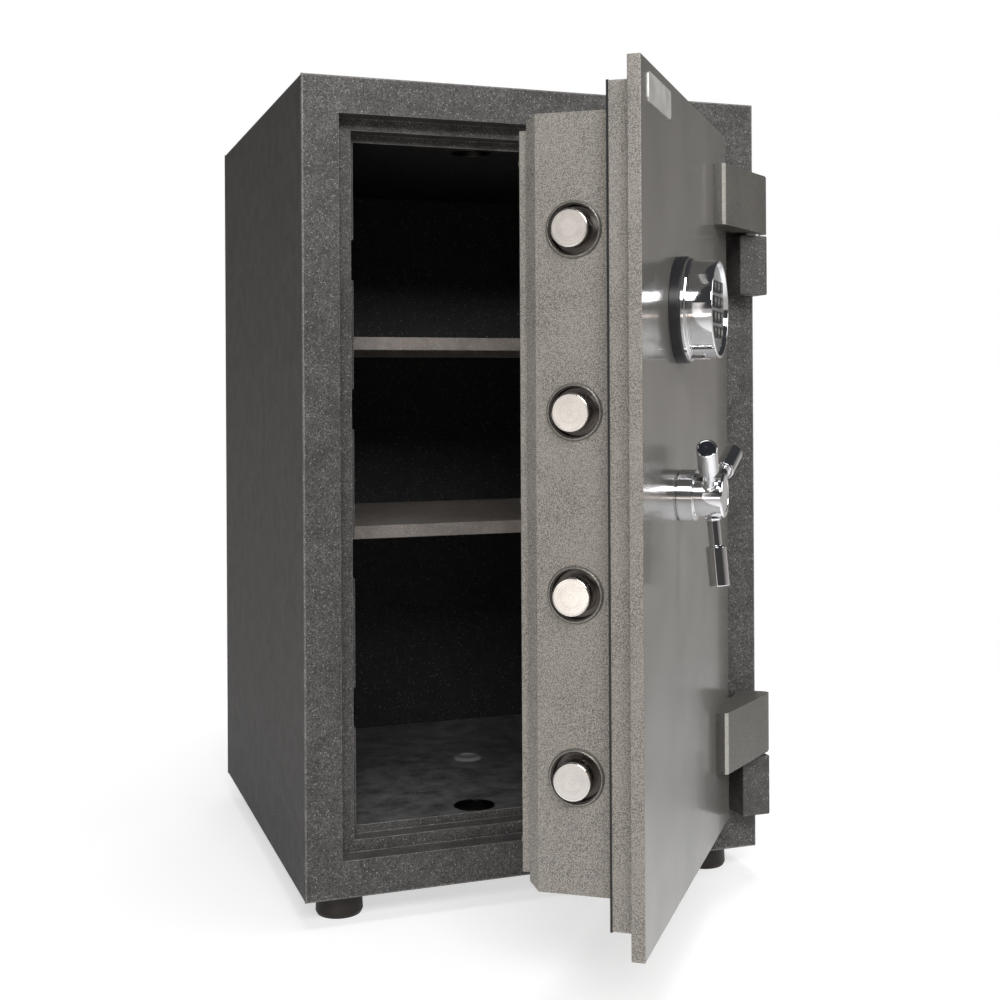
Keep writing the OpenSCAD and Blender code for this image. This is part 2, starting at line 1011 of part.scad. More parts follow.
// A bolt along +Z whose tip stands bolt_rest out of the box
module bolt(inside) {
    edge = 3;
    rotate_extrude()
        polygon([
            [0, -inside], [bolt_r, -inside], [bolt_r, bolt_rest - edge],
            [bolt_r - edge * 0.3, bolt_rest - edge * 0.3], [bolt_r - edge, bolt_rest], [0, bolt_rest]
        ]);
}

module side_bolts() {
    color(bright)
        on_door()
            at_side_bolts()
                bolt(carrier_x - box_x);
}

module top_bolt() {
    color(bright)
        on_door()
            translate([column_x, bolt_y, top_z])
                bolt(bolt_inside);
}

module bottom_bolt() {
    color(bright)
        on_door()
            translate([column_x, bolt_y, bottom_z])
                rotate([180, 0, 0])
                    bolt(bolt_inside);
}

// A rod from the pinion's right side up to the top bolt's foot, in the X-Z plane
module rod_outline() {
    z1 = top_z - bolt_inside - handle_z;
    back = tooth_ded + rack_bar;
    along = concat(
        [[rod_start, back], [rod_start, tooth_ded]], rack_teeth(3),
        [
            [z1 - foot_plate_h, tooth_ded], [z1 - foot_plate_h, -pitch_r - bolt_r],
            [z1, -pitch_r - bolt_r], [z1, back]
        ]
    );
    polygon([for (p = along) [pitch_r + p.y, p.x]]);
}

module top_rod() {
    color("#a39d95")
        on_door()
            in_door(rod_t0, rod_t1)
                translate([column_x, handle_z])
                    rod_outline();
}

module bottom_rod() {
    color("#a39d95")
        on_door()
            in_door(rod_t0, rod_t1)
                translate([column_x, handle_z])
                    rotate(180)
                        rod_outline();
}

// Lower edge of the upper (side = 1) or the lower (side = -1) rod guide
function guide_z(side) = handle_z
    + side * (top_z - bolt_inside - handle_z - foot_plate_h - bolt_back - 4 - guide_h / 2)
    - guide_h / 2;

// Blocks with a slot that keep the two rods in line
module rod_guides() {
    rod_x0 = pitch_r + tooth_ded;
    color("#77736d")
        on_door()
            for (side = [1, -1])
                difference() {
                    in_door(plate_back_t, rod_t1 + 4)
                        translate([column_x, guide_z(side)])
                            mirror([side < 0 ? 1 : 0, 0])
                                rect_from(rod_x0 - guide_wall, 0, rod_x0 + rack_bar + guide_wall, guide_h);
                    in_door(rod_t0 - slide_gap, rod_t1 + slide_gap)
                        translate([column_x, guide_z(side) - eps])
                            mirror([side < 0 ? 1 : 0, 0])
                                rect_from(rod_x0 - slide_gap, 0, rod_x0 + rack_bar + slide_gap,
                                    guide_h + 2 * eps);
                }
}

outer_shell();
back_panel();
front_frame();
wall_filling();
inner_liner();
feet();
foot_screws();
shelf_upper();
shelf_lower();
shelf_brackets();
anchor_sleeve();
anchor_plug();
hinge_block_upper();
hinge_block_lower();
hinge_pins();
hinge_washers();
door_plate();
door_step();
door_filling();
door_box();
mount_plate();
back_cover();
cover_screws();
bolt_bushings();
hinge_leaf_upper();
hinge_leaf_lower();
badge_plate();
keypad_base();
keypad_bezel();
keypad_face();
keypad_board();
keypad_cable();
lock_body();
spindle_bushing();
rod_guides();
battery_drawer();
lock_bolt();
keypad_key(0);  // key_1
keypad_key(1);  // key_2
keypad_key(2);  // key_3
keypad_key(3);  // key_4
keypad_key(4);  // key_5
keypad_key(5);  // key_6
keypad_key(6);  // key_7
keypad_key(7);  // key_8
keypad_key(8);  // key_9
keypad_key(9);  // key_star
keypad_key(10);  // key_0
keypad_key(11);  // key_hash
handle_hub();
handle_spokes();
spindle();
drive_pinion();
bolt_carrier();
side_rack();
side_bolts();
top_bolt();
top_rod();
bottom_bolt();
bottom_rod();
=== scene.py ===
"""The looks of a free-standing composite safe with a stepped door, turned round bolts,
a three-spoke handle and a round keypad. Metres, in the frame's own axes, door side towards -Y.
Door pieces are laid out with the door shut and then swung to the frame's resting angle."""

import json
import math

import bmesh
import bpy
from mathutils import Matrix, Vector
from mathutils.bvhtree import BVHTree


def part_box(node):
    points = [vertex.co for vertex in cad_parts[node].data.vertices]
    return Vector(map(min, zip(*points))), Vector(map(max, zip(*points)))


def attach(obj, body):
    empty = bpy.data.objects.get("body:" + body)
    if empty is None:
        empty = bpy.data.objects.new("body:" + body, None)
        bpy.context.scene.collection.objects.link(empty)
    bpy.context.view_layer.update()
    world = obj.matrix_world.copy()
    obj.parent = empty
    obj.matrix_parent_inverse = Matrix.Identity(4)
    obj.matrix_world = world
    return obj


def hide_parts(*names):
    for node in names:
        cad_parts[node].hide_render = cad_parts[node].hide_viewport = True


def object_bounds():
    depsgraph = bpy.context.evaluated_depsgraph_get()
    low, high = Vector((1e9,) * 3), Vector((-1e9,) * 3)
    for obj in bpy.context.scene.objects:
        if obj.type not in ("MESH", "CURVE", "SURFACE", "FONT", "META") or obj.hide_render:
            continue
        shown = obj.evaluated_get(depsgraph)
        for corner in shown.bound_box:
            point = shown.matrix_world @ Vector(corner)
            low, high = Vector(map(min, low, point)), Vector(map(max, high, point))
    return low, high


MM = 0.001

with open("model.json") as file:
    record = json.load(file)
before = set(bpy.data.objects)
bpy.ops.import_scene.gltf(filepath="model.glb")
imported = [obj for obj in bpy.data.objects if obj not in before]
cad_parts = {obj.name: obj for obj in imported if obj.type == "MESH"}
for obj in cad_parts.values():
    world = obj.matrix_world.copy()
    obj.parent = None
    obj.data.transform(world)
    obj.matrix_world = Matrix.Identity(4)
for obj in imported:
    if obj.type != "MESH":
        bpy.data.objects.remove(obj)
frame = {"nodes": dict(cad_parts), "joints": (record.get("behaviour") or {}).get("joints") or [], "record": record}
CAD_BOX = [list(corner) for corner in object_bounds()]
SLOTS = {part["node"]: part["material_slot"] for part in frame["record"]["subparts"]}
BODIES = frame["record"]["behaviour"]["bodies"]
SWING = next(j for j in frame["joints"] if j["name"] == "door_swing")
PIN = Vector(SWING["pos_m"])
OPEN_ANGLE = math.radians(-SWING["range_deg"][0])
DOOR = Matrix.Translation(PIN) @ Matrix.Rotation(OPEN_ANGLE, 4, "Z") @ Matrix.Translation(-PIN)


# ------------------------------------------------------------------ places in the frame


def shut_box(node):
    """Lowest and highest corner of a door node with the door swung shut."""
    back = DOOR.inverted()
    corners = [back @ v.co for v in frame["nodes"][node].data.vertices]
    return (
        Vector(min(c[i] for c in corners) for i in range(3)),
        Vector(max(c[i] for c in corners) for i in range(3)),
    )


def middle(box):
    return (box[0] + box[1]) / 2


BODY_LO, BODY_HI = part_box("outer_shell")
FRAME_FRONT_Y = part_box("front_frame")[0].y
DOOR_FACE_Y = shut_box("door_plate")[0].y
HUB = shut_box("handle_hub")
KEYPAD = shut_box("keypad_base")
DOOR_BOX = shut_box("door_box")
TOP_BOLT = shut_box("top_bolt")
BOLT_RADIUS = (TOP_BOLT[1].x - TOP_BOLT[0].x) / 2


def out_of_door(x, z):
    """Local +Z points out of the door's face, local +X to the hinge side, local +Y up."""
    return DOOR @ Matrix.Translation((x, DOOR_FACE_Y, z)) @ Matrix.Rotation(math.pi / 2, 4, "X")


AT_HANDLE = out_of_door(middle(HUB).x, middle(HUB).z)
AT_KEYPAD = out_of_door(middle(KEYPAD).x, middle(KEYPAD).z)


# ------------------------------------------------------------------ shader building


def add(tree, kind, inputs=None, **settings):
    """Adds a node; an input may be a number, a colour or another node's output."""
    made = tree.nodes.new(kind)
    for key, value in settings.items():
        setattr(made, key, value)
    for key, value in (inputs or {}).items():
        if isinstance(value, bpy.types.NodeSocket):
            tree.links.new(value, made.inputs[key])
        else:
            made.inputs[key].default_value = value
    return made


def new_finish(name, **uniform):
    """A material with its uniform values on the shader's own sockets."""
    finish = bpy.data.materials.new(name)
    finish.use_nodes = True
    tree = finish.node_tree
    shader = tree.nodes["Principled BSDF"]
    for key, value in uniform.items():
        socket = shader.inputs[key.replace("_", " ")]
        socket.default_value = (*value, 1) if isinstance(value, tuple) else value
    place = add(tree, "ShaderNodeTexCoord").outputs["Object"]
    return finish, tree, shader, place


def blend_colours(tree, factor, first, second):
    mix = add(tree, "ShaderNodeMix", data_type="RGBA")
    for socket, value in ((mix.inputs[0], factor), (mix.inputs[6], first), (mix.inputs[7], second)):
        if isinstance(value, bpy.types.NodeSocket):
            tree.links.new(value, socket)
        else:
            socket.default_value = (*value, 1)
    return mix.outputs[2]


def between(tree, value, low, high, out_low=0.0, out_high=1.0):
    """Value stretched from low..high to out_low..out_high and clamped."""
    sockets = {"Value": value, "From Min": low, "From Max": high, "To Min": out_low, "To Max": out_high}
    return add(tree, "ShaderNodeMapRange", sockets).outputs[0]


def noise(tree, place, grain, detail=2.0, rough=0.5):
    """Noise whose features are about grain metres across."""
    sockets = {"Vector": place, "Scale": 1 / grain, "Detail": detail, "Roughness": rough}
    return add(tree, "ShaderNodeTexNoise", sockets).outputs["Fac"]


def raise_surface(tree, shader, height, depth, strength=1.0):
    bump = add(tree, "ShaderNodeBump", {"Height": height, "Distance": depth, "Strength": strength})
    tree.links.new(bump.outputs["Normal"], shader.inputs["Normal"])


def flecks(tree, place, spacing, share, size):
    """Sparse bright grains: a random share of cells, each a small spot."""
    cells = add(tree, "ShaderNodeTexVoronoi", {"Vector": place, "Scale": 1 / spacing})
    lottery = add(tree, "ShaderNodeSeparateColor", {"Color": cells.outputs["Color"]})
    chosen = between(tree, lottery.outputs[0], 1 - share, 1 - share * 0.6)
    spot = between(tree, cells.outputs["Distance"], size, size * 0.4)
    return add(tree, "ShaderNodeMath", {0: chosen, 1: spot}, operation="MULTIPLY").outputs[0]


# ------------------------------------------------------------------ finishes


def textured_coat(name, deep, pale, sparkle_fleck, share=0.1, grain=1.3 * MM, dust_and_painted_light=None):
    """Powder coat: grainy relief with fine pale flecks painted in as sparkle, and a patchy pale tone where it lies
    flat: painted light on upward faces, mixed with dust.
    """
    finish, tree, shader, place = new_finish(name, Specular_IOR_Level=0.4)
    fine = noise(tree, place, grain, 3, 0.6)
    cloud = noise(tree, place, 24 * MM, 6, 0.78)
    tone = blend_colours(tree, between(tree, fine, 0.4, 0.62), deep, pale)
    worn = tuple(0.6 * c for c in deep)
    tone = blend_colours(tree, between(tree, cloud, 0.42, 0.62, 0, 0.5), tone, worn)
    # Faces that lie flat get a patchy pale tone: painted light falling on upward faces, mixed with dust.
    if dust_and_painted_light:
        facing = add(tree, "ShaderNodeTexCoord").outputs["Normal"]
        upward = add(tree, "ShaderNodeSeparateXYZ", {"Vector": facing}).outputs["Z"]
        lying = between(tree, upward, 0.6, 0.9)
        patchy = between(tree, noise(tree, place, 30 * MM, 5, 0.7), 0.35, 0.65, 0.25, 0.95)
        share_here = add(tree, "ShaderNodeMath", {0: lying, 1: patchy}, operation="MULTIPLY")
        tone = blend_colours(tree, share_here.outputs[0], tone, dust_and_painted_light)
    # Pale flecks in the base colour: painted sparkle, standing in for glints off the coat's grains.
    painted_sparkle = flecks(tree, place, grain * 1.2, share, 0.5)
    tree.links.new(blend_colours(tree, painted_sparkle, tone, sparkle_fleck), shader.inputs["Base Color"])
    tree.links.new(between(tree, fine, 0.3, 0.7, 0.62, 0.42), shader.inputs["Roughness"])
    raise_surface(tree, shader, fine, 0.3 * MM, 0.7)
    return finish


def hammertone(name, base, pit, grain=2.0 * MM, metal=0.35, rough=0.42):
    """Warm grey hammered enamel: rounded dimples with darker pits and bright rims."""
    finish, tree, shader, place = new_finish(name, Metallic=metal, Specular_IOR_Level=0.5)
    wander = add(tree, "ShaderNodeTexNoise", {"Vector": place, "Scale": 0.6 / grain, "Detail": 1})
    shift = add(tree, "ShaderNodeVectorMath", {0: wander.outputs["Color"], "Scale": grain * 1.2},
                operation="SCALE")
    bent = add(tree, "ShaderNodeVectorMath", {0: place, 1: shift.outputs[0]}, operation="ADD")
    cells = add(tree, "ShaderNodeTexVoronoi",
                {"Vector": bent.outputs[0], "Scale": 1 / grain, "Smoothness": 0.7},
                feature="SMOOTH_F1")
    dimple = cells.outputs["Distance"]
    fine = noise(tree, place, grain * 0.5, 2)
    cloud = noise(tree, place, 45 * MM, 3)
    tone = blend_colours(tree, between(tree, dimple, 0.2, 0.62), base, pit)
    bright = tuple(min(1, 1.25 * c) for c in base)
    tone = blend_colours(tree, between(tree, fine, 0.45, 0.7, 0, 0.6), tone, bright)
    dull = tuple(0.86 * c for c in base)
    tone = blend_colours(tree, between(tree, cloud, 0.4, 0.7, 0, 0.35), tone, dull)
    tree.links.new(tone, shader.inputs["Base Color"])
    tree.links.new(between(tree, cloud, 0.3, 0.7, rough - 0.05, rough + 0.08),
                   shader.inputs["Roughness"])
    raise_surface(tree, shader, dimple, 0.25 * MM, 0.6)
    return finish


def smooth_enamel(name, base, shade):
    """The door's outer face: semi-gloss enamel with a soft orange peel."""
    finish, tree, shader, place = new_finish(
        name, Specular_IOR_Level=0.5, Coat_Weight=0.25, Coat_Roughness=0.09)
    peel = noise(tree, place, 2.6 * MM, 2)
    cloud = noise(tree, place, 90 * MM, 3)
    fine = noise(tree, place, 0.9 * MM, 2)
    tone = blend_colours(tree, between(tree, cloud, 0.35, 0.7), base, shade)
    light = tuple(1.12 * c for c in base)
    tone = blend_colours(tree, between(tree, fine, 0.5, 0.75, 0, 0.5), tone, light)
    tree.links.new(tone, shader.inputs["Base Color"])
    tree.links.new(between(tree, cloud, 0.3, 0.7, 0.17, 0.25), shader.inputs["Roughness"])
    raise_surface(tree, shader, peel, 0.12 * MM, 0.35)
    return finish


def mirror_chrome(name, tint=(0.88, 0.88, 0.9), rough=0.03):
    """Bright plating with faint handling smears."""
    finish, tree, shader, place = new_finish(name, Metallic=1.0)
    smear = noise(tree, place, 14 * MM, 4, 0.6)
    dusk = tuple(0.9 * c for c in tint)
    tree.links.new(blend_colours(tree, between(tree, smear, 0.45, 0.75), tint, dusk),
                   shader.inputs["Base Color"])
    tree.links.new(between(tree, smear, 0.4, 0.8, rough, rough + 0.07), shader.inputs["Roughness"])
    return finish


def turned_steel(name, tint, rough, marks=0.35 * MM):
    """Steel off the lathe: fine marks run round the piece, across its own profile."""
    finish, tree, shader, place = new_finish(name, Metallic=1.0)
    along = add(tree, "ShaderNodeUVMap", uv_map="turned").outputs[0]
    stretched = add(tree, "ShaderNodeMapping", {"Vector": along, "Scale": (0.6, 1 / marks, 1)})
    lines = add(tree, "ShaderNodeTexNoise", {"Vector": stretched.outputs[0], "Scale": 1, "Detail": 3})
    cloud = noise(tree, place, 12 * MM, 2)
    dusk = tuple(0.82 * c for c in tint)
    tree.links.new(blend_colours(tree, between(tree, lines.outputs["Fac"], 0.4, 0.7), tint, dusk),
                   shader.inputs["Base Color"])
    tree.links.new(between(tree, cloud, 0.3, 0.7, rough, rough + 0.08), shader.inputs["Roughness"])
    raise_surface(tree, shader, lines.outputs["Fac"], 0.02 * MM, 0.5)
    return finish


def machined_steel(name, tint, rough=0.35, turn=0.0):
    """Sawn and milled steel with long fine scratches, or brushed sheet."""
    finish, tree, shader, place = new_finish(name, Metallic=1.0)
    stretched = add(tree, "ShaderNodeMapping",
                    {"Vector": place, "Rotation": (0, 0, turn), "Scale": (60, 900, 2600)})
    lines = add(tree, "ShaderNodeTexNoise", {"Vector": stretched.outputs[0], "Scale": 1, "Detail": 3})
    cloud = noise(tree, place, 20 * MM, 3)
    dusk = tuple(0.75 * c for c in tint)
    tone = blend_colours(tree, between(tree, lines.outputs["Fac"], 0.35, 0.7), tint, dusk)
    tree.links.new(tone, shader.inputs["Base Color"])
    tree.links.new(between(tree, cloud, 0.3, 0.7, rough, rough + 0.12), shader.inputs["Roughness"])
    raise_surface(tree, shader, lines.outputs["Fac"], 0.02 * MM, 0.4)
    return finish


def moulded_plastic(name, base, rough=0.45, grain=0.8 * MM, relief=0.05 * MM):
    """Plastic or rubber with a fine moulded grain."""
    finish, tree, shader, place = new_finish(name, Specular_IOR_Level=0.45)
    fine = noise(tree, place, grain, 2)
    cloud = noise(tree, place, 18 * MM, 2)
    lighter = tuple(min(1, 1.35 * c + 0.004) for c in base)
    tree.links.new(blend_colours(tree, between(tree, cloud, 0.35, 0.75), base, lighter),
                   shader.inputs["Base Color"])
    tree.links.new(between(tree, fine, 0.3, 0.7, rough - 0.06, rough + 0.08),
                   shader.inputs["Roughness"])
    raise_surface(tree, shader, fine, relief, 0.5)
    return finish


def cast_filling(name):
    """Fire-resistant composite, pale cement with grit and pores, here toned dark: painted shade for where it shows
    inside holes.
    """
    finish, tree, shader, place = new_finish(name, Roughness=0.95)
    grit = flecks(tree, place, 4 * MM, 0.35, 0.5)
    body = noise(tree, place, 6 * MM, 5, 0.65)
    # Dark tones far below the pale cement's own: painted shade inside the holes.
    tone = blend_colours(tree, body, (0.1, 0.098, 0.09), (0.16, 0.155, 0.145))
    tree.links.new(blend_colours(tree, grit, tone, (0.06, 0.058, 0.055)), shader.inputs["Base Color"])
    raise_surface(tree, shader, body, 0.8 * MM, 0.8)
    return finish


FINISHES = {
    "dark_paint": textured_coat("charcoal_powder_coat", (0.044, 0.041, 0.0405), (0.16, 0.152, 0.148),
                                (0.4, 0.39, 0.38)),
    "door_paint": smooth_enamel("door_enamel", (0.175, 0.167, 0.152), (0.145, 0.138, 0.127)),
    "hammer_paint": hammertone("door_hammertone", (0.455, 0.428, 0.388), (0.12, 0.113, 0.102),
                               1.05 * MM),
    # The cavity's upward faces get a patchy pale tone: painted light, mixed with dust.
    "black_paint": textured_coat("cavity_black", (0.008, 0.008, 0.0085), (0.03, 0.03, 0.031),
                                 (0.24, 0.24, 0.24), 0.06, dust_and_painted_light=(0.17, 0.167, 0.165)),
    "shelf_paint": textured_coat("shelf_taupe", (0.26, 0.23, 0.21), (0.36, 0.325, 0.3),
                                 (0.55, 0.52, 0.49), 0.05),
    "filling": cast_filling("mineral_filling_painted_shade"),
    "steel": machined_steel("machined_steel", (0.55, 0.54, 0.52)),
    "bushing_steel": turned_steel("bushing_steel", (0.1, 0.092, 0.088), 0.25),
    "bolt_steel": turned_steel("polished_bolt_bar", (0.86, 0.825, 0.79), 0.16),
    "chrome": mirror_chrome("mirror_chrome"),
    "badge_metal": machined_steel("brushed_badge", (0.9, 0.9, 0.87), 0.45, -OPEN_ANGLE),
    "black_plastic": moulded_plastic("keypad_black", (0.014, 0.014, 0.016), 0.32),
    "foot_plastic": moulded_plastic("foot_rubber", (0.02, 0.0145, 0.012), 0.4),
    "plug_plastic": moulded_plastic("anchor_cap_grey", (0.21, 0.21, 0.21), 0.25),
    "key_plastic": moulded_plastic("key_rubber", (0.02, 0.02, 0.022), 0.42),
    "board": moulded_plastic("circuit_board", (0.02, 0.12, 0.05), 0.3),
    "cable": moulded_plastic("cable_jacket", (0.012, 0.012, 0.012), 0.5),
    "lock_casting": machined_steel("lock_casting", (0.6, 0.58, 0.54), 0.5),
    "brass": machined_steel("machined_brass", (0.72, 0.5, 0.2), 0.3),
}
# Finishes of parts of a node, or of small pieces that no node stands for.
NUMERAL_FINISH = moulded_plastic("pale_numerals", (0.6, 0.6, 0.58), 0.5)
CAP_FINISH = moulded_plastic("spoke_end_cap", (0.012, 0.013, 0.018), 0.18)
COLLAR_FINISH = hammertone("collar_paint", (0.36, 0.345, 0.315), (0.2, 0.19, 0.175),
                           1.4 * MM, 0.6, 0.18)
LEAF_FINISH = hammertone("leaf_hammertone", (0.2, 0.19, 0.172), (0.075, 0.071, 0.064),
                         1.0 * MM, 0.35, 0.34)
# Light hammertone for the leaves' rounded rims: a painted highlight.
LEAF_RIM_HIGHLIGHT_FINISH = hammertone("leaf_rim_painted_highlight", (0.6, 0.58, 0.54), (0.3, 0.285, 0.26), 0.9 * MM, 0.25, 0.26)
# Dark hammertone for the leaves' end faces: painted shade.
LEAF_END_SHADE_FINISH = hammertone("leaf_end_painted_shade", (0.1, 0.094, 0.085), (0.035, 0.033, 0.03), 1.0 * MM, 0.35, 0.3)
# Lighter hammertone for the rounded edges of the door's step and box: a painted highlight.
DOOR_EDGE_HIGHLIGHT_FINISH = hammertone("door_rim_painted_highlight", (0.6, 0.575, 0.53), (0.24, 0.23, 0.21), 0.9 * MM, 0.5, 0.3)
# Lighter powder coat for the body's rounded edges: a painted highlight.
CASE_EDGE_HIGHLIGHT_FINISH = textured_coat("case_rim_painted_highlight", (0.12, 0.114, 0.11), (0.3, 0.29, 0.28),
                                (0.5, 0.49, 0.48))
FACE_FINISH = moulded_plastic("keypad_face_silver", (0.22, 0.22, 0.225), 0.25)
# Dark steel for the bolt-hole cups: painted shade inside the holes.
WELL_SHADE_FINISH = machined_steel("bolt_well_shade_steel", (0.1, 0.098, 0.095), 0.25)


# ------------------------------------------------------------------ mesh building


def filleted(corners, steps=5):
    """A closed outline through (x, y) or (x, y, fillet radius) corners."""
    outline = []
    for i, corner in enumerate(corners):
        here = Vector(corner[:2])
        if len(corner) == 2:
            outline.append(here)
            continue
        before = Vector(corners[i - 1][:2]) - here
        after = Vector(corners[(i + 1) % len(corners)][:2]) - here
        half = before.angle(after) / 2
        reach = min(corner[2] / math.tan(half), 0.49 * before.length, 0.49 * after.length)
        start = here + before.normalized() * reach
        inward = (before.normalized() + after.normalized()).normalized()
        centre = here + inward * (reach / math.cos(half))
        arm = start - centre
        side = before.x * after.y - before.y * after.x
        sweep = math.copysign(math.pi - 2 * half, -side)
        for k in range(steps + 1):
            outline.append(centre + Matrix.Rotation(sweep * k / steps, 2) @ arm)
    return outline


def turned(profile, steps=96):
    """A solid of revolution about +Z from a closed (radius, height) outline."""
    bm = bmesh.new()
    layer = bm.loops.layers.uv.new("turned")
    tiny = 1e-7
    rings, walked = [], [0.0]
    for i, (radius, height) in enumerate(profile):
        if radius < tiny:
            rings.append([bm.verts.new((0, 0, height))] * steps)
        else:
            angles = [2 * math.pi * k / steps for k in range(steps)]
            rings.append([bm.verts.new((radius * math.cos(a), radius * math.sin(a), height))
                          for a in angles])
        walked.append(walked[-1] + (Vector(profile[(i + 1) % len(profile)]) - Vector(profile[i])).length)
    for i in range(len(rings)):
        here, there = rings[i], rings[(i + 1) % len(rings)]
        if here[0] is here[1] and there[0] is there[1]:
            continue
        for k in range(steps):
            n = (k + 1) % steps
            corners = [(here[k], k, i), (here[n], k + 1, i),
                       (there[n], k + 1, i + 1), (there[k], k, i + 1)]
            unique = [c for j, c in enumerate(corners) if c[0] not in [d[0] for d in corners[:j]]]
            face = bm.faces.new([c[0] for c in unique])
            for loop, (_, turn, step) in zip(face.loops, unique):
                loop[layer].uv = (turn / steps, walked[step])
    bmesh.ops.recalc_face_normals(bm, faces=bm.faces)
    return bm


def slab(outline, low, high, edge=0.0, steps=3):
    """A flat outline made solid from low to high, with its upper rim rounded."""
    bm = bmesh.new()
    base = [bm.verts.new((p[0], p[1], low)) for p in outline]
    top = [bm.verts.new((p[0], p[1], high)) for p in outline]
    bm.faces.new(base)
    lid = bm.faces.new(top)
    for i in range(len(outline)):
        j = (i + 1) % len(outline)
        bm.faces.new((base[i], base[j], top[j], top[i]))
    bmesh.ops.recalc_face_normals(bm, faces=bm.faces)
    if edge:
        bmesh.ops.bevel(bm, geom=list(lid.edges), offset=edge, offset_type="OFFSET",
                        segments=steps, profile=0.5, affect="EDGES", clamp_overlap=True)
    return bm


def rounded_rect(width, height, radius):
    w, h = width / 2, height / 2
    return filleted([(-w, -h, radius), (w, -h, radius), (w, h, radius), (-w, h, radius)])


def smooth_by_angle(bm, limit=32):
    for face in bm.faces:
        face.smooth = True
    for edge in bm.edges:
        flat = len(edge.link_faces) == 2 and edge.calc_face_angle(0) < math.radians(limit)
        edge.smooth = flat


def as_object(name, bm, place=None):
    """Turns mesh code's result into an object at the origin with its place in its mesh."""
    smooth_by_angle(bm)
    mesh = bpy.data.meshes.new(name)
    bm.to_mesh(mesh)
    bm.free()
    if place:
        mesh.transform(place)
    made = bpy.data.objects.new(name, mesh)
    bpy.context.scene.collection.objects.link(made)
    return made


def settle(made, finish, body, stands_for=()):
    """Gives a finished piece its material and its body, and hides the nodes it stands for."""
    if made.data.materials:
        made.data.materials.clear()
    made.data.materials.append(finish)
    weigh = made.modifiers.new("even_normals", "WEIGHTED_NORMAL")
    weigh.keep_sharp = True
    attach(made, body)
    if stands_for:
        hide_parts(*stands_for)
    return made


def body_of(node):
    return next(name for name, members in BODIES.items() if node in members)


def stand_in(name, bm, node, place=None, finish=None):
    """A detailed piece in place of one CAD node, on that node's body and with its slot's finish."""
    made = as_object(name, bm, place)
    return settle(made, finish or FINISHES[SLOTS[node]], body_of(node), (node,))


def soften(bm, width, chosen, steps=3, rim=-1):
    edges = [
        e for e in bm.edges
        if len(e.link_faces) == 2 and e.calc_face_angle(0) > math.radians(33)
        and e.calc_length() > 2.5 * width and chosen(e)
    ]
    if edges:
        bmesh.ops.bevel(bm, geom=edges, offset=width, offset_type="OFFSET", segments=steps,
                        profile=0.5, affect="EDGES", clamp_overlap=True, material=rim)


def softened(node, *passes, finish=None, edge_highlight_finish=None):
    """A CAD node's own shape with its edges rounded, in place of the node.

    The rounded edges may have a lighter finish of their own: a painted highlight along the edges.
    """
    bm = bmesh.new()
    bm.from_mesh(frame["nodes"][node].data)
    bmesh.ops.remove_doubles(bm, verts=bm.verts, dist=1e-6)
    bmesh.ops.dissolve_limit(bm, angle_limit=math.radians(1), verts=bm.verts, edges=bm.edges)
    for width, chosen in passes:
        soften(bm, width, chosen, rim=1 if edge_highlight_finish else -1)
    made = stand_in(node + "_finished", bm, node, finish=finish)
    if edge_highlight_finish:
        made.data.materials.append(edge_highlight_finish)
    return made


def every_edge(edge):
    return True


def runs_along(axis):
    """Chooses edges that run along one axis, 0 to 2, on the outside of the body."""

    def chosen(edge):
        run = (edge.verts[1].co - edge.verts[0].co).normalized()
        at = (edge.verts[0].co + edge.verts[1].co) / 2
        outside = min(abs(at.x - BODY_LO.x), abs(at.x - BODY_HI.x)) < MM
        return abs(run[axis]) > 0.99 and outside

    return chosen


# ------------------------------------------------------------------ repeated pieces


def setting_out_tree():
    """Sets one shape out on a host's points, each turned the same way and spun at random."""
    tree = bpy.data.node_groups.new("set_out_on_points", "GeometryNodeTree")
    sockets = (("Geometry", "NodeSocketGeometry"), ("Shape", "NodeSocketObject"),
               ("Facing", "NodeSocketVector"), ("Size", "NodeSocketFloat"),
               ("Spin", "NodeSocketFloat"), ("Seed", "NodeSocketInt"),
               ("Finish", "NodeSocketMaterial"))
    for name, kind in sockets:
        tree.interface.new_socket(name, in_out="INPUT", socket_type=kind)
    tree.interface.new_socket("Geometry", in_out="OUTPUT", socket_type="NodeSocketGeometry")
    given = add(tree, "NodeGroupInput").outputs
    points = add(tree, "GeometryNodeMeshToPoints", {"Mesh": given["Geometry"]})
    shape = add(tree, "GeometryNodeObjectInfo", {"Object": given["Shape"]})
    spin = add(tree, "FunctionNodeRandomValue", {"Max": given["Spin"], "Seed": given["Seed"]},
               data_type="FLOAT")
    tree.links.new(given["Spin"], spin.inputs[3])
    own_turn = add(tree, "ShaderNodeCombineXYZ", {"Z": spin.outputs[1]})
    placed = add(tree, "GeometryNodeInstanceOnPoints", {
        "Points": points.outputs[0], "Instance": shape.outputs["Geometry"],
        "Rotation": given["Facing"], "Scale": given["Size"]})
    spun = add(tree, "GeometryNodeRotateInstances", {
        "Instances": placed.outputs[0], "Rotation": own_turn.outputs[0], "Local Space": True})
    real = add(tree, "GeometryNodeRealizeInstances", {"Geometry": spun.outputs[0]})
    painted = add(tree, "GeometryNodeSetMaterial",
                  {"Geometry": real.outputs[0], "Material": given["Finish"]})
    add(tree, "NodeGroupOutput", {"Geometry": painted.outputs[0]})
    return tree


SET_OUT = setting_out_tree()


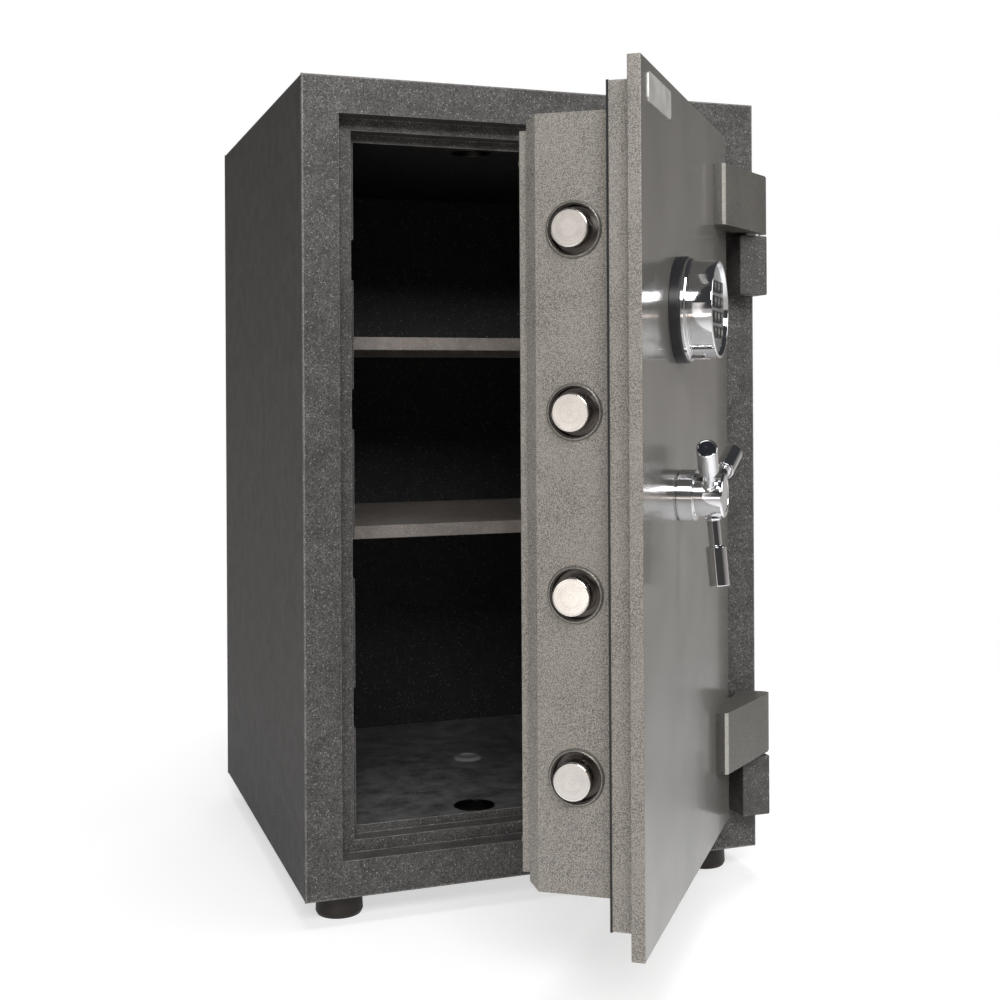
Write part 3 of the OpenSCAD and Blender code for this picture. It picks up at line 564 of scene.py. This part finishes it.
def set_out(name, shape_bm, places, facing, node, finish=None, spin=0.0, seed=1, replaces=True):
    """Repeats one shape at several places on the node's body."""
    finish = finish or FINISHES[SLOTS[node]]
    shape = as_object(name + "_shape", shape_bm)
    mesh = bpy.data.meshes.new(name + "_points")
    mesh.from_pydata([tuple(p) for p in places], [], [])
    host = bpy.data.objects.new(name, mesh)
    bpy.context.scene.collection.objects.link(host)
    maker = host.modifiers.new("set_out", "NODES")
    maker.node_group = SET_OUT
    values = {"Shape": shape, "Facing": facing, "Size": 1.0, "Spin": spin, "Seed": seed,
              "Finish": finish}
    for item in SET_OUT.interface.items_tree:
        if item.in_out == "INPUT" and item.name in values:
            maker[item.identifier] = values[item.name]
    bpy.context.view_layer.update()
    baked = bpy.data.meshes.new_from_object(host.evaluated_get(bpy.context.evaluated_depsgraph_get()))
    host.modifiers.remove(maker)
    host.data = baked
    bpy.data.objects.remove(shape)
    return settle(host, finish, body_of(node), (node,) if replaces else ())


def facing_along(direction):
    """Euler angles that point local +Z along a direction."""
    return tuple(Vector(direction).to_track_quat("Z", "Y").to_euler())


# ------------------------------------------------------------------ body


def front_edges(edge):
    """Chooses the edges where the front rim's face meets the body's sides, top and underside."""
    at = (edge.verts[0].co + edge.verts[1].co) / 2
    outside = min(abs(at[i] - side[i]) for i in (0, 2) for side in (BODY_LO, BODY_HI))
    return outside < MM and abs(at.y - FRAME_FRONT_Y) < MM


def make_casing():
    """Shell, back and front rim; the rim's steps turn black where they lie deep inside: painted shade in the
    opening.
    """
    corner = 2.5 * MM
    softened("outer_shell", (corner, runs_along(1)), edge_highlight_finish=CASE_EDGE_HIGHLIGHT_FINISH)
    softened("back_panel", (corner, runs_along(1)), (1.2 * MM, every_edge), edge_highlight_finish=CASE_EDGE_HIGHLIGHT_FINISH)
    rim = softened("front_frame", (corner, runs_along(1)), (2.0 * MM, front_edges),
                   (0.9 * MM, every_edge), edge_highlight_finish=CASE_EDGE_HIGHLIGHT_FINISH)
    rim.data.materials.append(FINISHES["black_paint"])
    # Faces deep in the opening take the cavity's black: painted shade.
    inside = FRAME_FRONT_Y + 50 * MM
    for face in rim.data.polygons:
        if face.center.y > inside and abs(face.normal.y) < 0.5:
            face.material_index = 2


def jamb_depth(frame_tree, x, y, down):
    """Height of the jamb's face beside a bolt hole, found by looking at the front frame's mesh."""
    start = Vector((x - 30 * MM, y, middle((BODY_LO, BODY_HI)).z))
    return frame_tree.ray_cast(start, Vector((0, 0, -1 if down else 1)))[0].z


def make_bolt_wells():
    """A bright ring and a dark cup in each of the two holes that the end bolts enter: the dark cup is painted
    shade lining the hole.
    """
    node = frame["nodes"]["front_frame"]
    frame_tree = BVHTree.FromPolygons([v.co for v in node.data.vertices],
                                      [tuple(f.vertices) for f in node.data.polygons])
    at = middle(TOP_BOLT)
    deep, wall, lip = 24 * MM, 1 * MM, 1.4 * MM
    for name, down in (("lower", True), ("upper", False)):
        face = jamb_depth(frame_tree, at.x, at.y, down)
        inward = -1 if down else 1
        level = Vector((at.x, at.y, face + inward * 1.5 * MM))
        radius = (frame_tree.ray_cast(level, Vector((1, 0, 0)))[0] - level).length
        outer = radius - 0.2 * MM
        cup = filleted([
            (0, -deep), (outer, -deep), (outer, 0.0), (radius + lip, 0.0),
            (radius + lip, 0.5 * MM, 0.3 * MM), (radius - wall, 0.5 * MM, 0.3 * MM),
            (radius - wall, -deep + wall), (0, -deep + wall),
        ])
        place = Matrix.Translation((at.x, at.y, face))
        if not down:
            place = place @ Matrix.Rotation(math.pi, 4, "X")
        made = as_object(name + "_bolt_well", turned(cup), place)
        settle(made, WELL_SHADE_FINISH, body_of("front_frame"))


def make_shelves():
    for node in ("shelf_upper", "shelf_lower"):
        softened(node, (0.8 * MM, every_edge))


def foot_profile():
    low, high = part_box("feet")
    height = high.z - low.z
    radius = 25 * MM
    return filleted([
        (0, -height + 12 * MM), (9 * MM, -height + 12 * MM), (9 * MM, -height),
        (radius - 2 * MM, -height, 1 * MM), (radius, -height + 4 * MM, 2 * MM),
        (radius - 0.8 * MM, -9 * MM, 1 * MM), (radius - 0.8 * MM, -6 * MM, 0.6 * MM),
        (radius, -5 * MM, 0.8 * MM), (radius, 0, 0.6 * MM), (0, 0),
    ])


def foot_places(depth):
    low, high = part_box("feet")
    inset = 25 * MM
    xs = (low.x + inset, high.x - inset)
    ys = (low.y + inset, high.y - inset)
    return [Vector((x, y, depth)) for x in xs for y in ys]


def make_feet():
    set_out("rubber_feet", turned(foot_profile()), foot_places(0), (0, 0, 0), "feet")


def cut_out(solid_bm, cutter_bm):
    """The solid with the cutter's shape taken out of it."""
    solid = as_object("solid_to_cut", solid_bm)
    cutter = as_object("cutter", cutter_bm)
    cut = solid.modifiers.new("recess", "BOOLEAN")
    cut.object = cutter
    cut.operation = "DIFFERENCE"
    result = bmesh.new()
    result.from_object(solid, bpy.context.evaluated_depsgraph_get())
    for scrap in (solid, cutter):
        bpy.data.objects.remove(scrap)
    return result


def cross_head(radius, height, reach, slot_width, dip):
    """A pan screw head with a cross recess, its seat at z = 0."""
    head = turned(filleted([(0, 0), (radius, 0, 0.2 * MM), (radius, height * 0.45, height * 0.4),
                            (radius * 0.55, height, height * 0.5), (0, height)], 6), 32)
    half = slot_width / 2
    outline = [(-half, -reach), (half, -reach), (half, -half), (reach, -half), (reach, half),
               (half, half), (half, reach), (-half, reach), (-half, half), (-reach, half),
               (-reach, -half), (-half, -half)]
    return cut_out(head, slab(outline, height - dip, height + MM))


def make_anchor_cap():
    low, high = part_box("anchor_plug")
    radius, height = (high.x - low.x) / 2, high.z - low.z
    rim = height - 4 * MM
    profile = filleted([
        (0, 0), (radius - 3 * MM, 0, MM), (radius - 3 * MM, rim), (radius, rim, 0.3 * MM),
        (radius, rim + 1.4 * MM, 0.8 * MM), (radius - 3 * MM, height, 2 * MM),
        (radius - 7 * MM, height, 0.8 * MM), (radius - 8 * MM, height - 1.6 * MM, 0.8 * MM),
        (0, height - 1.6 * MM),
    ])
    centre = middle((low, high))
    stand_in("anchor_cap", turned(profile), "anchor_plug",
             Matrix.Translation((centre.x, centre.y, low.z)))


def make_hinges():
    """Blocks on the body and leaves on the door; a leaf's end gets painted shade between two rims with a painted
    highlight.
    """
    for node in ("hinge_block_upper", "hinge_block_lower"):
        softened(node, (1.4 * MM, every_edge))
    for node in ("hinge_leaf_upper", "hinge_leaf_lower"):
        leaf = softened(node, (1.6 * MM, every_edge), finish=LEAF_FINISH, edge_highlight_finish=LEAF_RIM_HIGHLIGHT_FINISH)
        leaf.data.materials.append(LEAF_END_SHADE_FINISH)
        # Faces turned to the lock side: the flat end gets painted shade, the rounded rims a painted highlight.
        towards_lock = DOOR.to_3x3() @ Vector((-1, 0, 0))
        for face in leaf.data.polygons:
            facing = face.normal.dot(towards_lock)
            if facing > 0.95:
                face.material_index = 2
            elif facing > 0.35:
                face.material_index = 1


# ------------------------------------------------------------------ door


def make_door_shell():
    plate = softened("door_plate", (0.8 * MM, every_edge))
    plate.data.materials.append(FINISHES["hammer_paint"])
    outward = DOOR.to_3x3() @ Vector((0, -1, 0))
    for face in plate.data.polygons:
        if face.normal.dot(outward) < 0.9:
            face.material_index = 1
    softened("door_step", (1.8 * MM, every_edge), edge_highlight_finish=DOOR_EDGE_HIGHLIGHT_FINISH)
    softened("door_box", (1.2 * MM, every_edge), edge_highlight_finish=DOOR_EDGE_HIGHLIGHT_FINISH)
    softened("back_cover", (1.4 * MM, every_edge))


def make_step_shade_strip():
    """A thin black strip let into the rear edge of the door's step, all the way round: painted shade for the dark
    line between the step and the box.
    """
    low, high = shut_box("door_step")
    sunk, proud = 3 * MM, 0.3 * MM
    wide, behind = 1.9 * MM, 0.2 * MM
    centre = middle((low, high))
    bm = bmesh.new()
    rings = []
    for out, level in ((-sunk, -wide), (proud, -wide), (proud, behind), (-sunk, behind)):
        w, h = (high.x - low.x) / 2 + out, (high.z - low.z) / 2 + out
        rings.append([bm.verts.new((x, level, z)) for x, z in ((-w, -h), (w, -h), (w, h), (-w, h))])
    for i, ring in enumerate(rings):
        other = rings[(i + 1) % len(rings)]
        for k in range(4):
            n = (k + 1) % 4
            bm.faces.new((ring[k], ring[n], other[n], other[k]))
    bmesh.ops.recalc_face_normals(bm, faces=bm.faces)
    # The black strip is painted shade along the step's rear edge.
    strip = as_object("door_seal_strip", bm, DOOR @ Matrix.Translation((centre.x, high.y, centre.z)))
    settle(strip, FINISHES["black_plastic"], body_of("door_step"))


def screw_places():
    """The cover screws' seats: three down each side, one at the top and one at the bottom."""
    cover = shut_box("back_cover")
    mid = middle(cover)
    inset, down = 8 * MM, 20 * MM
    sides = (cover[0].x + inset, cover[1].x - inset)
    levels = (cover[0].z + inset + down, mid.z, cover[1].z - inset - down)
    seats = [(x, z) for x in sides for z in levels]
    seats += [(mid.x, z) for z in (cover[0].z + inset, cover[1].z - inset)]
    return [DOOR @ Vector((x, cover[1].y, z)) for x, z in seats]


def make_cover_screws():
    inward = DOOR.to_3x3() @ Vector((0, 1, 0))
    head = cross_head(4.5 * MM, 2.5 * MM, 2.6 * MM, 0.9 * MM, 1.4 * MM)
    set_out("cover_screw_heads", head, screw_places(), facing_along(inward), "cover_screws",
            FINISHES["steel"], 3.1, 7)


def bolt_rows():
    """Each row of bolts: its node, its seats on the box, its outward direction and two lengths.

    The lengths are how far a bolt stands out of the box's face and how far it runs inside.
    """
    low, high = DOOR_BOX
    sides, bottom = shut_box("side_bolts"), shut_box("bottom_bolt")
    x, y, _ = middle(TOP_BOLT)
    step = (sides[1].z - sides[0].z - 2 * BOLT_RADIUS) / 3
    side_z = [sides[0].z + BOLT_RADIUS + i * step for i in range(4)]
    return [
        ("side_bolts", [(low.x, y, z) for z in side_z], (-1, 0, 0),
         low.x - sides[0].x, sides[1].x - low.x),
        ("top_bolt", [(x, y, high.z)], (0, 0, 1), TOP_BOLT[1].z - high.z, high.z - TOP_BOLT[0].z),
        ("bottom_bolt", [(x, y, low.z)], (0, 0, -1), low.z - bottom[0].z, bottom[1].z - low.z),
    ]


def make_bolts():
    for node, seats, direction, stands, inside in bolt_rows():
        profile = filleted([
            (0, -inside), (BOLT_RADIUS, -inside), (BOLT_RADIUS, stands, 1.6 * MM), (0, stands),
        ], 6)
        out = DOOR.to_3x3() @ Vector(direction)
        set_out(node + "_turned", turned(profile), [DOOR @ Vector(s) for s in seats],
                facing_along(out), node)


def make_bushings():
    """Painted flared collars round steel sleeves, one pair for each bolt."""
    lip = DOOR_BOX[0].x - shut_box("bolt_bushings")[0].x + 0.4 * MM
    bore = BOLT_RADIUS + 5.5 * MM
    mouth = bore + 0.5 * MM
    outer = BOLT_RADIUS + 8.5 * MM
    collar = filleted([
        (bore, -2 * MM), (outer - 1 * MM, -2 * MM), (outer - 1 * MM, 0), (outer, 0),
        (outer, 0.8 * MM, 0.4 * MM), (mouth + 1 * MM, lip, 0.6 * MM),
        (mouth, lip, 0.4 * MM), (bore, 0.4 * MM, 0.5 * MM),
    ])
    running, end, ledge = BOLT_RADIUS + 0.15 * MM, -20 * MM, -9 * MM
    sleeve = filleted([
        (running, end), (bore - 0.1 * MM, end), (bore - 0.1 * MM, 0.2 * MM),
        (bore - 0.8 * MM, 0.2 * MM, 0.3 * MM), (bore - 0.9 * MM, ledge, 1 * MM), (running, ledge),
    ])
    first = True
    for node, seats, direction, _, _ in bolt_rows():
        places = [DOOR @ Vector(s) for s in seats]
        facing = facing_along(DOOR.to_3x3() @ Vector(direction))
        row = node.split("_")[0]
        set_out(row + "_collars", turned(collar), places, facing, "bolt_bushings", COLLAR_FINISH,
                replaces=first)
        set_out(row + "_sleeves", turned(sleeve), places, facing, "bolt_bushings", replaces=False)
        first = False


def make_badge():
    low, high = shut_box("badge_plate")
    width, height, thick = high.x - low.x, high.z - low.z, high.y - low.y
    bm = slab(rounded_rect(width, height, 4 * MM), 0, thick, 0.4 * MM)
    centre = middle((low, high))
    stand_in("blank_badge", bm, "badge_plate", out_of_door(centre.x, centre.z))


# ------------------------------------------------------------------ keypad


def make_keypad_rings():
    low, high = KEYPAD
    radius, height = (high.x - low.x) / 2, high.y - low.y
    base = filleted([(5 * MM, 0), (radius, 0, 0.4 * MM), (radius, height, 1.6 * MM), (5 * MM, height)])
    stand_in("keypad_black_ring", turned(base, 128), "keypad_base", AT_KEYPAD)


def make_bezel():
    """The chrome drum, stepped near the door, with a pocket underneath for the battery drawer."""
    low, high = shut_box("keypad_bezel")
    top = DOOR_FACE_Y - low.y
    floor = DOOR_FACE_Y - high.y
    drum = (high.x - low.x) / 2 - 3 * MM
    face_low, face_high = shut_box("keypad_face")
    face_r = (face_high.x - face_low.x) / 2 + 0.2 * MM
    face_top = DOOR_FACE_Y - face_low.y
    face_seat = DOOR_FACE_Y - face_high.y
    profile = filleted([
        (drum - 6 * MM, floor), (drum + 3 * MM, floor, 0.4 * MM),
        (drum + 3 * MM, floor + 3 * MM, 1.4 * MM), (drum + 1 * MM, floor + 4.6 * MM, 0.6 * MM),
        (drum - 0.4 * MM, floor + 5.2 * MM, 0.4 * MM), (drum - 0.4 * MM, floor + 6.4 * MM, 0.4 * MM),
        (drum, floor + 7 * MM, 0.5 * MM), (drum, top, 1.4 * MM), (drum - 2.6 * MM, top, 0.8 * MM),
        (face_r, face_top, 0.3 * MM), (face_r, face_seat), (drum - 6 * MM, face_seat),
    ])
    drawer = shut_box("battery_drawer")
    gap = 0.3 * MM
    half = (drawer[1].x - drawer[0].x + 2 * gap) / 2
    outside, inside = -drum - 8 * MM, -drum + 15 * MM
    pocket = slab([(-half, outside), (half, outside), (half, inside), (-half, inside)],
                  DOOR_FACE_Y - drawer[1].y - gap, DOOR_FACE_Y - drawer[0].y + gap)
    stand_in("keypad_chrome_drum", cut_out(turned(profile, 160), pocket), "keypad_bezel", AT_KEYPAD)


def make_drawer():
    low, high = shut_box("battery_drawer")
    centre = middle((low, high))
    depth = high.y - low.y
    width, length = high.x - low.x, high.z - low.z
    bm = slab(rounded_rect(width, depth, 1.6 * MM), 0, length, 1.0 * MM)
    place = (DOOR @ Matrix.Translation((centre.x, centre.y, high.z))
             @ Matrix.Rotation(math.pi, 4, "X"))
    stand_in("battery_tray", bm, "battery_drawer", place)


KEY_LEGENDS = {"key_star": "*", "key_hash": "#"}


def make_numeral(node, legend, height, place):
    """One raised numeral, made from a text curve turned into a mesh."""
    curve = bpy.data.curves.new(node + "_text", "FONT")
    curve.body = legend
    curve.size = height
    curve.align_x = "CENTER"
    curve.align_y = "CENTER"
    curve.extrude = 0.12 * MM
    curve.resolution_u = 4
    text = bpy.data.objects.new(node + "_text", curve)
    bpy.context.scene.collection.objects.link(text)
    mesh = bpy.data.meshes.new_from_object(text.evaluated_get(bpy.context.evaluated_depsgraph_get()))
    bpy.data.objects.remove(text)
    mesh.transform(place)
    made = bpy.data.objects.new(node + "_numeral", mesh)
    bpy.context.scene.collection.objects.link(made)
    settle(made, NUMERAL_FINISH, body_of(node))


def make_keys():
    for node in sorted(n for n in frame["nodes"] if n.startswith("key_")):
        low, high = shut_box(node)
        centre = middle((low, high))
        width, height, deep = high.x - low.x, high.z - low.z, high.y - low.y
        seat = out_of_door(centre.x, centre.z) @ Matrix.Translation((0, 0, DOOR_FACE_Y - high.y))
        bm = slab(rounded_rect(width, height, 1.8 * MM), 0, deep, 0.7 * MM, 4)
        stand_in(node + "_cap", bm, node, seat)
        legend = KEY_LEGENDS.get(node, node[-1])
        make_numeral(node, legend, 7.5 * MM, seat @ Matrix.Translation((0, 0, deep)))


def make_keypad_face():
    softened("keypad_face", finish=FACE_FINISH)


# ------------------------------------------------------------------ handle


def make_hub():
    low, high = HUB
    radius = (high.x - low.x) / 2
    floor = DOOR_FACE_Y - high.y
    top = DOOR_FACE_Y - low.y
    front = radius - 3.5 * MM
    step = 16 * MM
    profile = filleted([
        (0, floor), (radius - 1.5 * MM, floor), (radius - 1.5 * MM, floor + 0.9 * MM),
        (radius, floor + 1.1 * MM, 0.3 * MM), (radius, step, 1.0 * MM), (front, step, 0.5 * MM),
        (front, top, 3.2 * MM), (front - 5 * MM, top, 0.4 * MM),
        (front - 5.6 * MM, top - 0.5 * MM, 0.3 * MM), (0, top - 0.5 * MM),
    ], 6)
    stand_in("handle_hub_turned", turned(profile, 128), "handle_hub", AT_HANDLE)


def spoke_frames():
    """Placement of each spoke: local +Z runs outwards along it from the handle's axis."""
    lift = 29 * MM
    tilt = math.radians(6)
    for angle in (26, 146, 266):
        yield (AT_HANDLE @ Matrix.Rotation(math.radians(angle), 4, "Z")
               @ Matrix.Translation((0, 0, lift)) @ Matrix.Rotation(math.pi / 2 - tilt, 4, "Y"))


def make_spokes():
    """Three turned spokes, each with a thicker grip and a dark cap let into its end."""
    reach = 84 * MM
    neck, grip = 6 * MM, 9.5 * MM
    collar = reach - 37 * MM
    seat, cap_r, cap_top = reach - 1.4 * MM, grip - 2.3 * MM, reach - 0.3 * MM
    rod = filleted([
        (0, 18 * MM), (neck + 1.6 * MM, 18 * MM), (neck + 1.6 * MM, 22.2 * MM, 1.2 * MM),
        (neck, 23.4 * MM, 1.0 * MM), (neck, collar, 0.5 * MM), (grip - 0.8 * MM, collar, 0.4 * MM),
        (grip, collar + 1.4 * MM, 0.5 * MM), (grip, reach, 1.2 * MM),
        (grip - 1.8 * MM, reach, 0.4 * MM), (grip - 2.2 * MM, seat), (0, seat),
    ], 6)
    cap = filleted([
        (0, seat), (cap_r, seat), (cap_r, cap_top, 0.5 * MM), (2.2 * MM, cap_top, 0.4 * MM),
        (1.2 * MM, reach - 1.1 * MM, 0.5 * MM), (0, reach - 1.1 * MM),
    ], 5)
    spokes, caps = bmesh.new(), bmesh.new()
    for place in spoke_frames():
        for total, profile in ((spokes, rod), (caps, cap)):
            one = turned(profile, 72)
            one.transform(place)
            scrap = bpy.data.meshes.new("scrap")
            one.to_mesh(scrap)
            one.free()
            total.from_mesh(scrap)
            bpy.data.meshes.remove(scrap)
    stand_in("handle_spokes_turned", spokes, "handle_spokes")
    made = as_object("handle_end_caps", caps)
    settle(made, CAP_FINISH, body_of("handle_spokes"))


# ------------------------------------------------------------------ light, floor and camera


def white_fade(radius_full, radius_gone):
    """A lightbox floor: it glows a little, keeps a soft shadow and fades into the surroundings."""
    finish, tree, shader, place = new_finish(
        "studio_floor", Roughness=0.9, Specular_IOR_Level=0.1,
        Base_Color=(0.55, 0.55, 0.55), Emission_Color=(1.0, 1.0, 1.0))
    ray = add(tree, "ShaderNodeLightPath").outputs
    along = add(tree, "ShaderNodeSeparateXYZ", {"Vector": place}).outputs["Y"]
    before = add(tree, "ShaderNodeMath", operation="MULTIPLY", inputs={
        0: between(tree, along, -0.1, -0.5), 1: ray["Is Glossy Ray"]}).outputs[0]
    lit = add(tree, "ShaderNodeMath", {0: ray["Is Camera Ray"], 1: before},
              operation="MAXIMUM").outputs[0]
    tree.links.new(between(tree, lit, 0, 1, 0.1, 0.62), shader.inputs["Emission Strength"])
    reach = add(tree, "ShaderNodeVectorMath", {0: place}, operation="LENGTH")
    gone = between(tree, reach.outputs["Value"], radius_full, radius_gone)
    clear = add(tree, "ShaderNodeBsdfTransparent")
    mix = add(tree, "ShaderNodeMixShader", {0: gone, 1: shader.outputs[0], 2: clear.outputs[0]})
    tree.links.new(mix.outputs[0], tree.nodes["Material Output"].inputs[0])
    return finish


def make_floor():
    size = 6.0
    bm = bmesh.new()
    bmesh.ops.create_grid(bm, x_segments=1, y_segments=1, size=size)
    floor = as_object("studio_floor", bm, Matrix.Translation((0, 0, CAD_BOX[0][2])))
    floor.data.materials.append(white_fade(0.6, 1.7))


def make_world():
    """White where the camera looks past the safe; a dim room over a bright floor elsewhere."""
    world = bpy.data.worlds.new("studio")
    bpy.context.scene.world = world
    world.use_nodes = True
    tree = world.node_tree
    tree.nodes.clear()
    place = add(tree, "ShaderNodeTexCoord").outputs["Generated"]
    height = add(tree, "ShaderNodeSeparateXYZ", {"Vector": place}).outputs["Z"]
    behind = add(tree, "ShaderNodeVectorMath", {0: place, 1: (0.79, 0.61, 0)}, operation="DOT_PRODUCT")
    wall = blend_colours(tree, between(tree, behind.outputs["Value"], -0.1, 0.5),
                         (0.05, 0.048, 0.047), (0.34, 0.325, 0.31))
    sweep = blend_colours(tree, between(tree, height, 0.35, 0.0), (0.04, 0.041, 0.044), wall)
    room = blend_colours(tree, between(tree, height, 0.01, -0.06), sweep, (0.45, 0.435, 0.42))
    seen = add(tree, "ShaderNodeLightPath").outputs["Is Camera Ray"]
    colour = blend_colours(tree, seen, room, (1, 1, 1))
    shown = add(tree, "ShaderNodeBackground", {"Color": colour, "Strength": 1.0})
    add(tree, "ShaderNodeOutputWorld", {"Surface": shown.outputs[0]})


def make_light(name, place, aim, width, height, power, tint=(1, 1, 1)):
    data = bpy.data.lights.new(name, "AREA")
    data.shape = "RECTANGLE"
    data.size, data.size_y = width, height
    data.energy = power
    data.color = tint
    lamp = bpy.data.objects.new(name, data)
    lamp.location = place
    lamp.rotation_euler = (Vector(aim) - Vector(place)).to_track_quat("-Z", "Y").to_euler()
    bpy.context.scene.collection.objects.link(lamp)
    return lamp


def make_lights():
    """Softboxes round the safe, and two small warm cards beside the open door."""
    aim = (0, -0.1, 0.45)
    make_light("key_softbox", (-0.7, -3.0, 2.0), aim, 1.8, 0.9, 70)
    make_light("fill_softbox", (2.4, -1.6, 1.5), aim, 0.9, 1.4, 22)
    above = make_light("top_softbox", (0.1, -0.3, 2.7), aim, 1.6, 1.2, 40)
    above.visible_glossy = False
    make_light("left_card", (-1.7, -1.85, 0.45), (-0.08, -0.58, 0.45), 0.5, 1.3, 1.65,
               (1, 0.96, 0.92))
    make_light("warm_card", (-1.0, -2.0, 0.12), (-0.1, -0.28, 0.1), 0.9, 0.2, 1.4, (1, 0.84, 0.75))
    make_light("back_softbox", (0.6, 2.4, 1.8), aim, 1.6, 1.2, 20)


def make_camera():
    yaw, roll = math.radians(20.64), math.radians(0.30)
    data = bpy.data.cameras.new("view")
    data.lens = 52.06
    data.sensor_width = 36
    data.shift_x, data.shift_y = -0.05, -0.1085
    camera = bpy.data.objects.new("view", data)
    camera.location = (-0.5441, -1.7462, 0.5225)
    camera.rotation_euler = (math.pi / 2, roll, -yaw)
    bpy.context.scene.collection.objects.link(camera)
    bpy.context.scene.camera = camera
    bpy.context.scene.view_settings.view_transform = "Standard"


# ------------------------------------------------------------------ making


def paint_frame_nodes():
    """Every CAD node gets its slot's finish; the ones that stay visible keep it."""
    for name, made in frame["nodes"].items():
        finish = FINISHES[SLOTS[name]]
        if SLOTS[name] in ("bolt_steel", "bushing_steel"):
            finish = FINISHES["steel"]
        made.data.materials.clear()
        made.data.materials.append(finish)


def main():
    make_camera()
    make_world()
    make_lights()
    make_floor()
    paint_frame_nodes()
    make_casing()
    make_bolt_wells()
    make_shelves()
    make_feet()
    make_anchor_cap()
    make_hinges()
    make_door_shell()
    make_step_shade_strip()
    make_cover_screws()
    make_bolts()
    make_bushings()
    make_badge()
    make_keypad_rings()
    make_bezel()
    make_keypad_face()
    make_drawer()
    make_keys()
    make_hub()
    make_spokes()


main()
